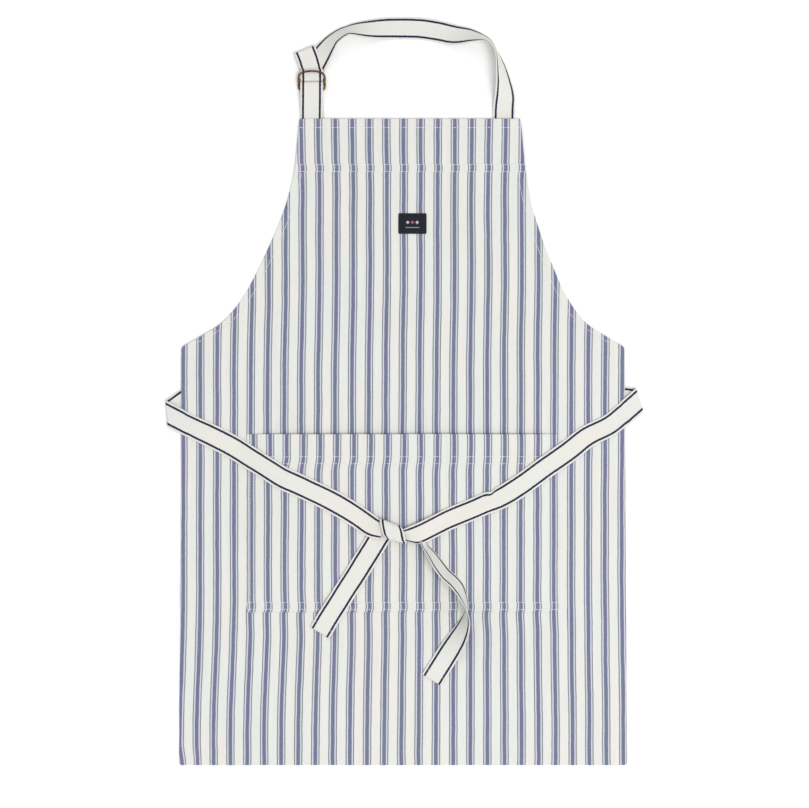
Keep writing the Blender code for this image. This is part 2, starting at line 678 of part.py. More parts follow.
def build_strap(halter):
    """Neck strap: under both rings, back over the first, and round the neck to the bib."""
    profile = [(FREE_END_START, STRAP_HIGH)]
    for n in range(9):
        angle = math.pi / 2 + math.pi * n / 8
        radius = (STRAP_HIGH - STRAP_LOW) / 2
        profile.append((STRAP_WRAP_Y + radius * math.cos(angle),
                        STRAP_LOW + radius + radius * math.sin(angle)))
    profile.append((STRAP_WRAP_END, STRAP_LOW))
    middle, normals = ring_tape_rows(profile)
    normals = [[-n for n in row] for row in normals]
    centres = through([(x, y, 0.0) for x, y in STRAP_ROUTE], 0.010)
    last = len(centres) - 1
    for i, (centre, heading) in enumerate(zip(centres, headings(centres))):
        place = i / last * (len(STRAP_TILTS) - 1)
        low = min(int(place), len(STRAP_TILTS) - 2)
        tilt = math.radians(STRAP_TILTS[low] + (STRAP_TILTS[low + 1] - STRAP_TILTS[low]) * (place - low))
        if centre.y < BIB_Y + STRAP_LEVEL:
            heading = Vector((0.0, -1.0, 0.0))
        across = -side_of(heading)
        wide = across * math.cos(tilt) + Vector((0, 0, math.sin(tilt)))
        normal = Vector((0, 0, math.cos(tilt))) - across * math.sin(tilt)
        rest = STRAP_LOW + RING_TAPE / 2 * math.sin(tilt)
        row = [centre + wide * (RING_TAPE * (c / TAPE_COLUMNS - 0.5)) + Vector((0, 0, rest))
               for c in range(TAPE_COLUMNS + 1)]
        middle.append(row)
        normals.append([normal] * len(row))
    tape_shell("neck_strap", middle, normals, parent=halter)


def build_free_end(halter):
    start = Vector((*FREE_END[0], 0.0))
    top = STRAP_HIGH + TAPE / 2
    hinge = pivot("free_end_pivot", (start.x, start.y, top))
    centres = through([(x, y, 0.0) for x, y in FREE_END], 0.006)

    def rest(x, y):
        return STRAP_HIGH - TAPE / 2

    laid_tape("neck_strap_free_end", centres, RING_TAPE, cut=(Vector((1, 0, 0)), None),
              under=rest, parent=hinge)


def build_sewn_ends():
    """The ends of the tab and of the strap, caught behind the bib."""
    edge = BIB_Y + CLEAR
    for name, centre, thick in (("ring_tab_sewn_end", RING_X, TAPE * 2 + CLEAR),
                                ("neck_strap_sewn_end", STRAP_ROUTE[-1][0], TAPE)):
        lower = [[(centre + RING_TAPE * k, y, 0.0) for k in (-0.5, 0.5)] for y in (SEWN_Y, edge)]
        upper = [[(x, y, thick) for x, y, z in row] for row in lower]
        slab(name, lower, upper, COTTON)


# ---------------------------------------------------------------- assembly

def main():
    clear_scene()
    halter = pivot("halter_pivot", HALTER_AXIS)
    waist = pivot("waist_pivot", WAIST_AXIS)
    build_body()
    build_pocket()
    build_label()
    build_threads()
    build_label_thread()
    build_ties(waist)
    build_knot(waist)
    build_left_tail(waist)
    build_right_tail(waist)
    build_sewn_ends()
    build_tab(halter)
    build_strap(halter)
    build_free_end(halter)
    build_ring("ring_back", (RING_X, BACK_RING_Y, BACK_RING_Z), 0.0, halter)
    build_ring("ring_front", (RING_X, FRONT_RING_Y, FRONT_RING_Z), FRONT_RING_TILT, halter)


main()
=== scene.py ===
import math

import bpy
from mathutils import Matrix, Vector, noise


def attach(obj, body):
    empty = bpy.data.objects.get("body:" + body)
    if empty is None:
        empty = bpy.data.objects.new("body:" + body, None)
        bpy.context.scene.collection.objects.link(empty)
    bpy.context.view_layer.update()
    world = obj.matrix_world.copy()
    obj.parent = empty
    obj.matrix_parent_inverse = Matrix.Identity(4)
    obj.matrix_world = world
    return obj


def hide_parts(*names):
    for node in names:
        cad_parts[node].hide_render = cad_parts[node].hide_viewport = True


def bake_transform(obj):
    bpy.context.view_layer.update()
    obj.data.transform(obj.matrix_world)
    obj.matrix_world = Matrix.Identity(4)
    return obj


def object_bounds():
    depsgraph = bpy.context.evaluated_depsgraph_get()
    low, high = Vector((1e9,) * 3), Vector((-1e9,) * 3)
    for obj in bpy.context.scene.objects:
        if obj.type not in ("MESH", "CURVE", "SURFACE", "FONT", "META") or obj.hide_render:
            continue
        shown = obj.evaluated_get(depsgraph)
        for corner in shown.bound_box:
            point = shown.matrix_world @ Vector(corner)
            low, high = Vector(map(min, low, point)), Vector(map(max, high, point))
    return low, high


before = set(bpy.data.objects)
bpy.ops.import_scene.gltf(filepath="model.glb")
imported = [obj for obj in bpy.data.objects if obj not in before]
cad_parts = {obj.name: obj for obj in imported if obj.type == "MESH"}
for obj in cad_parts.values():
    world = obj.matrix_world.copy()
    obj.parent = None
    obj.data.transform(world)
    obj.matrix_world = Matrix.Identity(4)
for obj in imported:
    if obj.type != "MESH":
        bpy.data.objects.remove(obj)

cadLow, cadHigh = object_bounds()
print("frame loaded:", len(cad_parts), "nodes")


# Camera, light and floor

studio = {
    "lens": 100.0,
    "sensor": 36.0,
    "eyeHeight": 3.146,
    "eyeBelowMiddle": 0.0182,    # the camera looks down a little below the apron's middle
    "floorSize": 14.0,
    "floorDrop": 0.0004,
    "floorColour": (0.955, 0.955, 0.955, 1.0),
    "worldStrength": 0.76,
    "keyPlace": (1.6, -1.3, 4.6),
    "keySize": 2.4,
    "keyPower": 117.0,
}


def makeCamera():
    middle = (cadLow + cadHigh) / 2
    data = bpy.data.cameras.new("studioCamera")
    data.lens = studio["lens"]
    data.sensor_width = studio["sensor"]
    camera = bpy.data.objects.new("studioCamera", data)
    camera.location = (middle.x, middle.y - studio["eyeBelowMiddle"], studio["eyeHeight"])
    bpy.context.collection.objects.link(camera)
    bpy.context.scene.camera = camera


def makeLight():
    world = bpy.data.worlds.new("softRoom")
    world.use_nodes = True
    sky = world.node_tree.nodes["Background"]
    sky.inputs["Color"].default_value = (1.0, 1.0, 1.0, 1.0)
    sky.inputs["Strength"].default_value = studio["worldStrength"]
    bpy.context.scene.world = world
    bpy.context.scene.view_settings.view_transform = "Standard"
    data = bpy.data.lights.new("softBox", "AREA")
    data.shape = "DISK"
    data.size = studio["keySize"]
    data.energy = studio["keyPower"]
    lamp = bpy.data.objects.new("softBox", data)
    lamp.location = studio["keyPlace"]
    lamp.rotation_euler = (-Vector(studio["keyPlace"])).to_track_quat("-Z", "Y").to_euler()
    bpy.context.collection.objects.link(lamp)


def makeFloor():
    half = studio["floorSize"] / 2
    mesh = bpy.data.meshes.new("studioFloor")
    z = cadLow.z - studio["floorDrop"]
    mesh.from_pydata([(-half, -half, z), (half, -half, z), (half, half, z), (-half, half, z)],
                     [], [(0, 1, 2, 3)])
    floor = bpy.data.objects.new("studioFloor", mesh)
    bpy.context.collection.objects.link(floor)
    look = bpy.data.materials.new("paperFloor")
    look.use_nodes = True
    shader = look.node_tree.nodes["Principled BSDF"]
    shader.inputs["Base Color"].default_value = studio["floorColour"]
    shader.inputs["Roughness"].default_value = 0.9
    shader.inputs["Specular IOR Level"].default_value = 0.1
    mesh.materials.append(look)


makeCamera()
makeLight()
makeFloor()
print("camera, light and floor ready")


# Shader helpers

class Wiring:
    # puts nodes in a tree and joins them, so that a material reads top to bottom
    def __init__(self, tree):
        self.tree = tree

    def add(self, kind, inputs=None, **settings):
        node = self.tree.nodes.new(kind)
        for key, value in settings.items():
            setattr(node, key, value)
        for key, value in (inputs or {}).items():
            self.feed(node.inputs[key], value)
        return node

    def feed(self, socket, value):
        if isinstance(value, bpy.types.NodeSocket):
            self.tree.links.new(value, socket)
        else:
            socket.default_value = value

    def maths(self, operation, *values):
        node = self.add("ShaderNodeMath", dict(enumerate(values)), operation=operation)
        return node.outputs[0]

    def plus(self, first, second):
        return self.maths("ADD", first, second)

    def minus(self, first, second):
        return self.maths("SUBTRACT", first, second)

    def times(self, first, second):
        return self.maths("MULTIPLY", first, second)

    def over(self, first, second):
        return self.maths("DIVIDE", first, second)

    def size(self, value):
        return self.maths("ABSOLUTE", value)

    def step(self, value, low, high, start=0.0, end=1.0):
        node = self.add("ShaderNodeMapRange", {
            "Value": value, "From Min": low, "From Max": high, "To Min": start, "To Max": end,
        }, interpolation_type="SMOOTHSTEP")
        return node.outputs["Result"]

    def mix(self, share, first, second, blend="MIX"):
        node = self.add("ShaderNodeMix", data_type="RGBA", blend_type=blend)
        self.feed(node.inputs[0], share)
        self.feed(node.inputs[6], first)
        self.feed(node.inputs[7], second)
        return node.outputs[2]

    def cloud(self, place, scale, detail=2.0, stretch=None):
        if stretch:
            place = self.add("ShaderNodeMapping", {"Vector": place, "Scale": stretch}).outputs[0]
        node = self.add("ShaderNodeTexNoise", {"Vector": place, "Scale": scale, "Detail": detail})
        return node.outputs["Fac"]

    def apart(self, place):
        return self.add("ShaderNodeSeparateXYZ", {"Vector": place}).outputs


def makeGroup(name, inputs, outputs, build):
    tree = bpy.data.node_groups.new(name, "ShaderNodeTree")
    for label, kind, value in inputs:
        socket = tree.interface.new_socket(label, in_out="INPUT", socket_type=kind)
        if value is not None:
            socket.default_value = value
    for label, kind in outputs:
        tree.interface.new_socket(label, in_out="OUTPUT", socket_type=kind)
    wiring = Wiring(tree)
    given = wiring.add("NodeGroupInput").outputs
    results = build(wiring, given)
    final = wiring.add("NodeGroupOutput")
    for label, value in results.items():
        wiring.feed(final.inputs[label], value)
    return tree


def buildTwill(w, given):
    # diagonal ribs, broken up by the single threads and by slubs
    x, y, _ = w.apart(given["Place"])
    rib = w.over(w.plus(x, w.times(y, given["Lean"])), given["Pitch"])
    ridge = w.maths("PINGPONG", rib, 0.5)
    pick = w.maths("PINGPONG", w.over(y, w.times(given["Pitch"], 0.5)), 0.5)
    slub = w.cloud(given["Place"], 900.0, 2.0, (1.0, 0.25, 1.0))
    height = w.plus(w.times(ridge, 1.2), w.times(pick, 0.5))
    height = w.plus(height, w.times(slub, 0.5))
    # Shade is a painted-shade mask: low in the hollows between the threads, high on the ribs
    return {"Height": height, "Shade": w.step(height, 0.25, 1.05, 0.0, 1.0), "Slub": slub}


twill = makeGroup("twillWeave", [
    ("Place", "NodeSocketVector", None),
    ("Pitch", "NodeSocketFloat", 0.0009),
    ("Lean", "NodeSocketFloat", 1.0),
], [
    ("Height", "NodeSocketFloat"), ("Shade", "NodeSocketFloat"), ("Slub", "NodeSocketFloat"),
], buildTwill)


def buildCotton(w, given):
    # the ground colour of unbleached cotton: warm and cool patches, with painted shade that darkens it
    # between the threads
    patch = w.cloud(given["Place"], 13.0, 3.0, (1.0, 0.45, 1.0))
    streak = w.cloud(given["Place"], 160.0, 2.0, (1.0, 0.06, 1.0))
    tone = w.mix(w.step(patch, 0.35, 0.65), given["Warm"], given["Cool"])
    streakAndShade = w.times(given["Variation"], w.minus(streak, 0.5))
    # painted shade: Depth darkens the colour where Shade is low, in the hollows between the threads
    streakAndShade = w.plus(streakAndShade, w.times(w.minus(given["Shade"], 1.0), given["Depth"]))
    value = w.plus(streakAndShade, 1.0)
    grey = w.add("ShaderNodeCombineColor", {"Red": value, "Green": value, "Blue": value}).outputs[0]
    return {"Colour": w.mix(1.0, tone, grey, "MULTIPLY")}


cotton = makeGroup("cottonGround", [
    ("Place", "NodeSocketVector", None),
    ("Warm", "NodeSocketColor", (0.770, 0.755, 0.714, 1.0)),
    ("Cool", "NodeSocketColor", (0.748, 0.757, 0.730, 1.0)),
    ("Variation", "NodeSocketFloat", 0.12),
    ("Shade", "NodeSocketFloat", 1.0),
    # Depth: how dark the painted shade between the threads is
    ("Depth", "NodeSocketFloat", 0.08),
], [("Colour", "NodeSocketColor")], buildCotton)


def newMaterial(name, roughness, sheen=0.0, metallic=0.0, specular=0.3):
    look = bpy.data.materials.new(name)
    look.use_nodes = True
    wiring = Wiring(look.node_tree)
    shader = look.node_tree.nodes["Principled BSDF"]
    shader.inputs["Roughness"].default_value = roughness
    shader.inputs["Metallic"].default_value = metallic
    shader.inputs["Specular IOR Level"].default_value = specular
    shader.inputs["Sheen Weight"].default_value = sheen
    shader.inputs["Sheen Roughness"].default_value = 0.5
    return look, wiring, shader


def placeGroup(w, tree, inputs):
    node = w.add("ShaderNodeGroup", node_tree=tree)
    for key, value in inputs.items():
        w.feed(node.inputs[key], value)
    return node.outputs


def clothPlace(w):
    return w.add("ShaderNodeUVMap", uv_map="clothMap").outputs["UV"]


def dress(w, shader, colour, grain, roughness, height, distance, strength):
    # colour, a roughness that follows the grain, and the raised threads or pits
    w.feed(shader.inputs["Base Color"], colour)
    w.feed(shader.inputs["Roughness"], w.step(grain, 0.3, 0.7, *roughness))
    bump = w.add("ShaderNodeBump", {"Height": height, "Distance": distance, "Strength": strength})
    w.feed(shader.inputs["Normal"], bump.outputs["Normal"])


# Ticking: a blue bar with a pale gap and a thin line on each side, woven into off-white

ticking = {
    "pitch": 0.0236,
    "firstBar": -0.3094,
    "barHalf": 0.0026,
    "lineAt": 0.0051,
    "lineHalf": 0.00078,
    "soft": 0.00038,
    "barBlue": (0.152, 0.175, 0.250, 1.0),
    "barViolet": (0.159, 0.156, 0.273, 1.0),
    "fleck": (0.56, 0.58, 0.66, 1.0),
    "gap": (0.53, 0.56, 0.69, 1.0),
    "line": (0.165, 0.170, 0.215, 1.0),
    "wander": 0.0010,            # how far the woven edges stray, in long waves
    "ragged": 0.0006,            # and from thread to thread
    "gapShare": 0.55,
    "lineShare": 0.92,
}


def makeTicking():
    look, w, shader = newMaterial("ticking", 0.85, sheen=0.05, specular=0.12)
    place = clothPlace(w)
    x = w.apart(place)["X"]
    wander = w.minus(w.cloud(place, 60.0, 3.0, (0.4, 1.0, 1.0)), 0.5)
    ragged = w.minus(w.cloud(place, 700.0, 2.0, (0.5, 1.0, 1.0)), 0.5)
    drift = w.plus(w.times(wander, ticking["wander"]), w.times(ragged, ticking["ragged"]))
    across = w.minus(w.plus(x, drift), ticking["firstBar"])
    turn = w.maths("FRACT", w.plus(w.over(across, ticking["pitch"]), 0.5))
    away = w.times(w.size(w.minus(turn, 0.5)), ticking["pitch"])
    soft = ticking["soft"]
    bar = w.step(away, ticking["barHalf"] - soft, ticking["barHalf"] + soft, 1.0, 0.0)
    nearLine = w.size(w.minus(away, ticking["lineAt"]))
    line = w.step(nearLine, ticking["lineHalf"] - soft, ticking["lineHalf"] + soft, 1.0, 0.0)
    inside = w.step(away, ticking["lineAt"] - soft, ticking["lineAt"], 1.0, 0.0)

    weave = placeGroup(w, twill, {"Place": place, "Pitch": 0.0011, "Lean": 0.8})
    # the ground takes the cotton's painted shade between the threads
    ground = placeGroup(w, cotton, {"Place": place, "Shade": weave["Shade"]})["Colour"]
    flecks = w.step(w.cloud(place, 1500.0, 2.0, (1.0, 0.55, 1.0)), 0.56, 0.72)
    # painted shade and highlight on the flecks: dimmer in the hollows, brighter on the ribs
    flecks = w.times(flecks, w.plus(w.times(weave["Shade"], 0.5), 0.35))
    hue = w.step(w.cloud(place, 14.0, 2.0, (1.0, 0.4, 1.0)), 0.42, 0.60)
    dye = w.mix(hue, ticking["barBlue"], ticking["barViolet"])
    dye = w.mix(flecks, dye, ticking["fleck"])
    thin = w.mix(w.times(flecks, 0.8), ticking["line"], ticking["fleck"])
    colour = w.mix(w.times(inside, ticking["gapShare"]), ground, ticking["gap"])
    colour = w.mix(w.times(line, ticking["lineShare"]), colour, thin)
    colour = w.mix(bar, colour, dye)
    dress(w, shader, colour, weave["Slub"], (0.78, 0.95), weave["Height"], 0.00022, 0.55)
    return look


# Tape: off-white twill with a navy line near each selvedge

tapeCloth = {
    "width": 0.0318,
    "thick": 0.0010,
    "lineAt": 0.0119,
    "lineHalf": 0.00145,
    "zigzag": 0.00028,
    "zigzagLength": 0.0021,
    "selvedge": (0.0140, 0.0156),
    "navy": (0.007, 0.009, 0.036, 1.0),
    "navyHighlight": (0.12, 0.14, 0.26, 1.0),
    "warm": (0.775, 0.755, 0.705, 1.0),
    "cool": (0.750, 0.760, 0.720, 1.0),
}


def makeTape():
    look, w, shader = newMaterial("twillTape", 0.8, sheen=0.05, specular=0.1)
    place = clothPlace(w)
    x, y, _ = w.apart(place)
    weave = placeGroup(w, twill, {"Place": place, "Pitch": 0.0010, "Lean": 1.0})
    # the ground takes painted shade between the threads (Depth)
    ground = placeGroup(w, cotton, {
        "Place": place, "Shade": weave["Shade"], "Warm": tapeCloth["warm"], "Cool": tapeCloth["cool"],
        "Variation": 0.05, "Depth": 0.06,
    })["Colour"]
    steps = w.maths("PINGPONG", w.over(y, tapeCloth["zigzagLength"]), 0.5)
    steps = w.times(w.minus(steps, 0.25), tapeCloth["zigzag"] * 4)
    uneven = w.minus(w.cloud(place, 420.0, 2.0), 0.5)
    away = w.size(w.minus(w.size(x), tapeCloth["lineAt"]))
    away = w.plus(away, w.plus(steps, w.times(uneven, 0.0009)))
    line = w.step(away, tapeCloth["lineHalf"] - 0.0002, tapeCloth["lineHalf"] + 0.0003, 1.0, 0.0)
    # painted highlight: a lighter navy on the raised ribs of the line, where Shade is high
    navy = w.mix(w.times(weave["Shade"], 0.16), tapeCloth["navy"], tapeCloth["navyHighlight"])
    selvedge = w.step(w.size(x), *tapeCloth["selvedge"], 0.0, 0.5)
    dress(w, shader, w.mix(line, ground, navy), weave["Slub"], (0.72, 0.9),
          w.minus(weave["Height"], selvedge), 0.00025, 0.6)
    return look


# Woven label: navy satin with a plain border and three small diamonds

labelCloth = {
    "ground": (0.0070, 0.0075, 0.014, 1.0),
    # lift: a lighter navy painted on the raised satin threads, a painted highlight
    "lift": (0.018, 0.019, 0.030, 1.0),
    "pale": (0.50, 0.49, 0.50, 1.0),
    "rose": (0.42, 0.10, 0.13, 1.0),
    "diamond": 0.0026,
    "diamondRise": 0.0016,
    "spacing": 0.0066,
    "barDrop": 0.0056,
    "barHalfLong": 0.0095,
    "barHalfHigh": 0.00038,
}


def makeLabelCloth():
    look, w, shader = newMaterial("labelSatin", 0.6, specular=0.12)
    place = clothPlace(w)
    x, y, _ = w.apart(place)
    weave = placeGroup(w, twill, {"Place": place, "Pitch": 0.0006, "Lean": 0.0})
    # painted highlight on the raised threads, painted shade in the hollows
    colour = w.mix(weave["Shade"], labelCloth["ground"], labelCloth["lift"])
    tall = w.size(w.minus(y, labelCloth["diamondRise"]))

    def diamond(centre):
        side = w.size(w.minus(x, centre))
        reach = w.plus(side, tall)
        return w.step(reach, labelCloth["diamond"] - 0.0003, labelCloth["diamond"] + 0.0003, 1.0, 0.0)

    for shift, tint in ((-1, "pale"), (1, "pale"), (0, "rose")):
        colour = w.mix(w.times(diamond(shift * labelCloth["spacing"]), 0.9),
                       colour, labelCloth[tint])
    high = w.size(w.plus(y, labelCloth["barDrop"]))
    rule = w.step(high, labelCloth["barHalfHigh"], labelCloth["barHalfHigh"] + 0.0003, 1.0, 0.0)
    rule = w.times(rule, w.step(w.size(x), labelCloth["barHalfLong"],
                                          labelCloth["barHalfLong"] + 0.0004, 1.0, 0.0))
    colour = w.mix(w.times(rule, 0.6), colour, labelCloth["pale"])
    dress(w, shader, colour, weave["Slub"], (0.5, 0.75), weave["Height"], 0.0001, 0.5)
    return look


def makeThread(name, dark, light):
    look, w, shader = newMaterial(name, 0.6, sheen=0.1)
    place = w.add("ShaderNodeTexCoord").outputs["Object"]
    twist = w.cloud(place, 1400.0, 2.0)
    dress(w, shader, w.mix(w.step(twist, 0.35, 0.65), dark, light), twist, (0.5, 0.75), twist, 0.0001, 0.5)
    return look


# Rings: brass darkened with age, rubbed bright in patches

agedBrass = {
    "dark": (0.060, 0.036, 0.020, 1.0),
    "warm": (0.205, 0.122, 0.058, 1.0),
    "rubbed": (0.42, 0.27, 0.13, 1.0),
}


def makeBrass():
    look, w, shader = newMaterial("agedBrass", 0.38, metallic=1.0, specular=0.5)
    place = w.add("ShaderNodeTexCoord").outputs["Object"]
    patina = w.cloud(place, 260.0, 4.0)
    rub = w.cloud(place, 90.0, 2.0)
    colour = w.mix(w.step(patina, 0.36, 0.62), agedBrass["dark"], agedBrass["warm"])
    colour = w.mix(w.times(w.step(rub, 0.52, 0.68), 0.7), colour, agedBrass["rubbed"])
    dress(w, shader, colour, patina, (0.55, 0.28), w.cloud(place, 1500.0, 3.0), 0.00006, 0.4)
    return look


looks = {
    "ticking": makeTicking(),
    "tape": makeTape(),
    "label": makeLabelCloth(),
    "whiteThread": makeThread("whiteThread", (0.70, 0.70, 0.70, 1.0), (0.90, 0.90, 0.90, 1.0)),
    "navyThread": makeThread("navyThread", (0.012, 0.013, 0.025, 1.0), (0.05, 0.055, 0.09, 1.0)),
    "brass": makeBrass(),
}
print("materials ready:", ", ".join(looks))


# Curves and meshes

def ease(low, high, value):
    t = min(1.0, max(0.0, (value - low) / (high - low)))
    return t * t * (3.0 - 2.0 * t)


def through(points, spacing):
    # a smooth curve through the points, cut into even steps
    points = [Vector(p) for p in points]
    before = [2 * points[0] - points[1]] + points + [2 * points[-1] - points[-2]]
    fine = []
    for i in range(1, len(before) - 2):
        a, b, c, d = before[i - 1:i + 3]
        for step in range(24):
            t = step / 24.0
            fine.append(0.5 * (2 * b + (c - a) * t + (2 * a - 5 * b + 4 * c - d) * t * t
                               + (3 * b - a - 3 * c + d) * t ** 3))
    fine.append(points[-1])
    return evenly(fine, spacing)


def flatThrough(places, spacing):
    return through([(x, y, 0.0) for x, y in places], spacing)


def evenly(fine, spacing):
    lengths = [0.0]
    for here, after in zip(fine, fine[1:]):
        lengths.append(lengths[-1] + (after - here).length)
    count = max(2, round(lengths[-1] / spacing))
    placed, k = [], 0
    for n in range(count + 1):
        want = lengths[-1] * n / count
        while k < len(fine) - 2 and lengths[k + 1] < want:
            k += 1
        share = (want - lengths[k]) / max(1e-9, lengths[k + 1] - lengths[k])
        placed.append(fine[k].lerp(fine[k + 1], min(1.0, share)))
    return placed


def headings(points):
    last = len(points) - 1
    return [(points[min(i + 1, last)] - points[max(i - 1, 0)]).normalized() for i in range(last + 1)]


def hill(start, full, fading, end, value):
    return ease(start, full, value) * (1.0 - ease(fading, end, value))


def sideOf(direction):
    return Vector((-direction.y, direction.x, 0.0))


def newPiece(name, mesh, look):
    piece = bpy.data.objects.new(name, mesh)
    bpy.context.collection.objects.link(piece)
    if look:
        mesh.materials.append(looks[look])
    mesh.shade_smooth()
    return piece


rimRound = 0.0003                # how far the middle of a rim stands out past its two edges
floorGap = 0.00005               # the least height of cloth over the floor


def sheetSolid(name, low, high, cloth, look):
    # closed cloth between two grids of points, with a rounded rim
    # cloth holds each point's place in the weave
    rows, columns = len(low), len(low[0])
    top = rows * columns

    def at(row, column, layer=0):
        return layer * top + row * columns + column

    border = [(0, c) for c in range(columns)]
    border += [(r, columns - 1) for r in range(1, rows)]
    border += [(rows - 1, c) for c in range(columns - 2, -1, -1)]
    border += [(r, 0) for r in range(rows - 2, 0, -1)]
    verts = [Vector(p) for grid in (low, high) for row in grid for p in row]
    places = [p for row in cloth for p in row] * 2
    rim = []
    for row, column in border:
        middle = (verts[at(row, column)] + verts[at(row, column, 1)]) / 2
        inward = Vector()
        if row in (0, rows - 1):
            inner = at(1 if row == 0 else rows - 2, column)
            inward += ((verts[inner] + verts[inner + top]) / 2 - middle).normalized()
        if column in (0, columns - 1):
            inner = at(row, 1 if column == 0 else columns - 2)
            inward += ((verts[inner] + verts[inner + top]) / 2 - middle).normalized()
        rim.append((middle, inward.normalized() * rimRound, at(row, column)))
    for middle, inward, index in rim:
        verts[index] = verts[index] + inward
        verts[index + top] = verts[index + top] + inward
        verts.append(middle)
        places.append(places[index])
    faces = []
    for r in range(rows - 1):
        for c in range(columns - 1):
            quad = [at(r, c), at(r + 1, c), at(r + 1, c + 1), at(r, c + 1)]
            faces.append(quad)
            faces.append([i + top for i in reversed(quad)])
    count = len(border)
    for n in range(count):
        here, after = at(*border[n]), at(*border[(n + 1) % count])
        edge, edgeAfter = 2 * top + n, 2 * top + (n + 1) % count
        faces.append([here, after, edgeAfter, edge])
        faces.append([edge, edgeAfter, after + top, here + top])
    volume = sum(verts[f[0]].dot(verts[f[1]].cross(verts[f[2]]) + verts[f[2]].cross(verts[f[3]]))
                 for f in faces)
    if volume < 0:
        faces = [f[::-1] for f in faces]
    mesh = bpy.data.meshes.new(name)
    mesh.from_pydata(verts, [], faces)
    layer = mesh.uv_layers.new(name="clothMap")
    for loop in mesh.loops:
        layer.data[loop.index].uv = places[loop.vertex_index]
    mesh.update()
    return newPiece(name, mesh, look)


def grids(cells):
    # rows of cells, each with its underside, top and place in the weave, parted into three grids
    return [[[cell[k] for cell in row] for row in cells] for k in range(3)]


def spread(low, high, step):
    count = max(1, round((high - low) / step))
    return [low + (high - low) * n / count for n in range(count + 1)]


# The body: one cut of ticking, hemmed all round, with a facing behind the bib

bodyCut = {
    "hemY": -0.5236,
    "hipY": 0.0617,
    "bibY": 0.3808,
    "halfWidth": 0.3098,
    "sideFlare": 0.0036,
    "shift": -0.002,
    "bibLean": 0.0100,
    "bibLeanTop": 0.310,
    "cloth": 0.0008,
    "hemFold": 0.0008,
    "hemDepth": 0.012,
    "facingY": 0.3040,
    "clear": 0.0003,
    "waistLift": 0.0018,
    "waist": (-0.140, -0.030, 0.075, 0.130),
    "bibLift": 0.0026,
    "bibLiftSpan": (0.250, 0.345),
    "armhole": [(0.3098, 0.0617), (0.2860, 0.0750), (0.2500, 0.1000), (0.2165, 0.1500),
                (0.1795, 0.2380), (0.1630, 0.3020), (0.1543, 0.3808)],
    "cornerRound": 0.0035,
    "sag": 0.0007,
    "facingSag": 0.35,           # share of the sag that is left where the cloth is double
    "tautOverTies": 0.75,        # share of it that the ties behind take out
    "pucker": 0.00024,
    "puckerLength": 0.0115,
    "puckerReach": 0.0075,
    "edgeWave": 0.00045,
    "footWave": 0.0005,
    "topRound": (0.0012, 0.0008),
    "columns": 150,
    "rowStep": 0.0048,
    "fineStep": 0.0022,          # rows at the hips and at the facing's seams
    "hipRows": 0.100,
    "seamRows": (0.3008, 0.3230),
}

pocketCut = {
    "x": -0.0021,
    "half": 0.2184,
    "mouth": -0.0602,
    "foot": -0.3094,
    "seam": 0.007,
    "footSeam": 0.0154,
    "ceiling": 0.0088,
    "fullness": (8, 16),         # how square the pocket stands, across and down
    "hemFold": 0.0007,
    "sag": 0.0006,
    "sway": 0.0007,
    "step": 0.0046,
}

sewing = {
    "bibHem": 0.3684,
    "facing": (0.3167, 0.3069),
    "armholeIn": 0.011,
    "pocketHem": (-0.0917, -0.1015),
    "pocketFoot": (-0.2958, -0.3055),
    "pocketSide": 0.0045,
    "rowEnd": 0.0025,
    "pitch": 0.0036,
    "stitch": 0.0029,
    "width": 0.00100,
    "height": 0.00036,
    "lift": 0.00026,
    "bodyRows": {"Seed": 3},
    "tailRow": {"Pitch": 0.0030, "Length": 0.0024, "Width": 0.0007, "Seed": 9},
    "labelRow": {"Pitch": 0.0022, "Length": 0.0019, "Width": 0.0005, "Height": 0.0003},
}

armholeCurve = flatThrough(bodyCut["armhole"], 0.002)


def halfWidth(y):
    hip, hem = bodyCut["hipY"], bodyCut["hemY"]
    if y <= hip:
        return bodyCut["halfWidth"] + bodyCut["sideFlare"] * (hip - y) / (hip - hem)
    for low, high in zip(armholeCurve, armholeCurve[1:]):
        if y <= high.y:
            return low.x + (high.x - low.x) * (y - low.y) / (high.y - low.y)
    return armholeCurve[-1].x


def centreX(y):
    hip = bodyCut["hipY"]
    share = min(1.0, max(0.0, (y - hip) / (bodyCut["bibLeanTop"] - hip)))
    return bodyCut["shift"] + bodyCut["bibLean"] * share


def bodyRest(y):
    waist = hill(*bodyCut["waist"], y)
    return bodyCut["waistLift"] * waist + bodyCut["bibLift"] * ease(*bodyCut["bibLiftSpan"], y)


def bodyTop(y):
    return bodyRest(y) + bodyCut["cloth"] + bodyCut["hemFold"]


def pocketUnder(x, y):
    sewn = bodyTop(y) + bodyCut["clear"]
    across = min(1.0, abs(x - pocketCut["x"]) / (pocketCut["half"] - pocketCut["seam"]))
    foot = pocketCut["foot"] + pocketCut["footSeam"]
    down = 1.0 - min(1.0, max(0.0, (y - foot) / (pocketCut["mouth"] - foot)))
    squareAcross, squareDown = pocketCut["fullness"]
    return sewn + (pocketCut["ceiling"] - sewn) * (1.0 - across ** squareAcross) * (1.0 - down ** squareDown)


def inPocket(x, y):
    return abs(x - pocketCut["x"]) <= pocketCut["half"] and pocketCut["foot"] <= y <= pocketCut["mouth"]


def clothTop(x, y):
    return pocketUnder(x, y) + bodyCut["cloth"] if inPocket(x, y) else bodyTop(y)


def pocketEdgeDistance(x, y):
    # how far a point is from the line where the pocket is sewn on
    dx = abs(x - pocketCut["x"]) - pocketCut["half"]
    low, high = pocketCut["foot"] - y, y - pocketCut["mouth"]
    if dx <= 0 and low <= 0 and high <= 0:
        return min(-dx, -low)
    return math.hypot(max(0.0, dx), max(0.0, low, high))


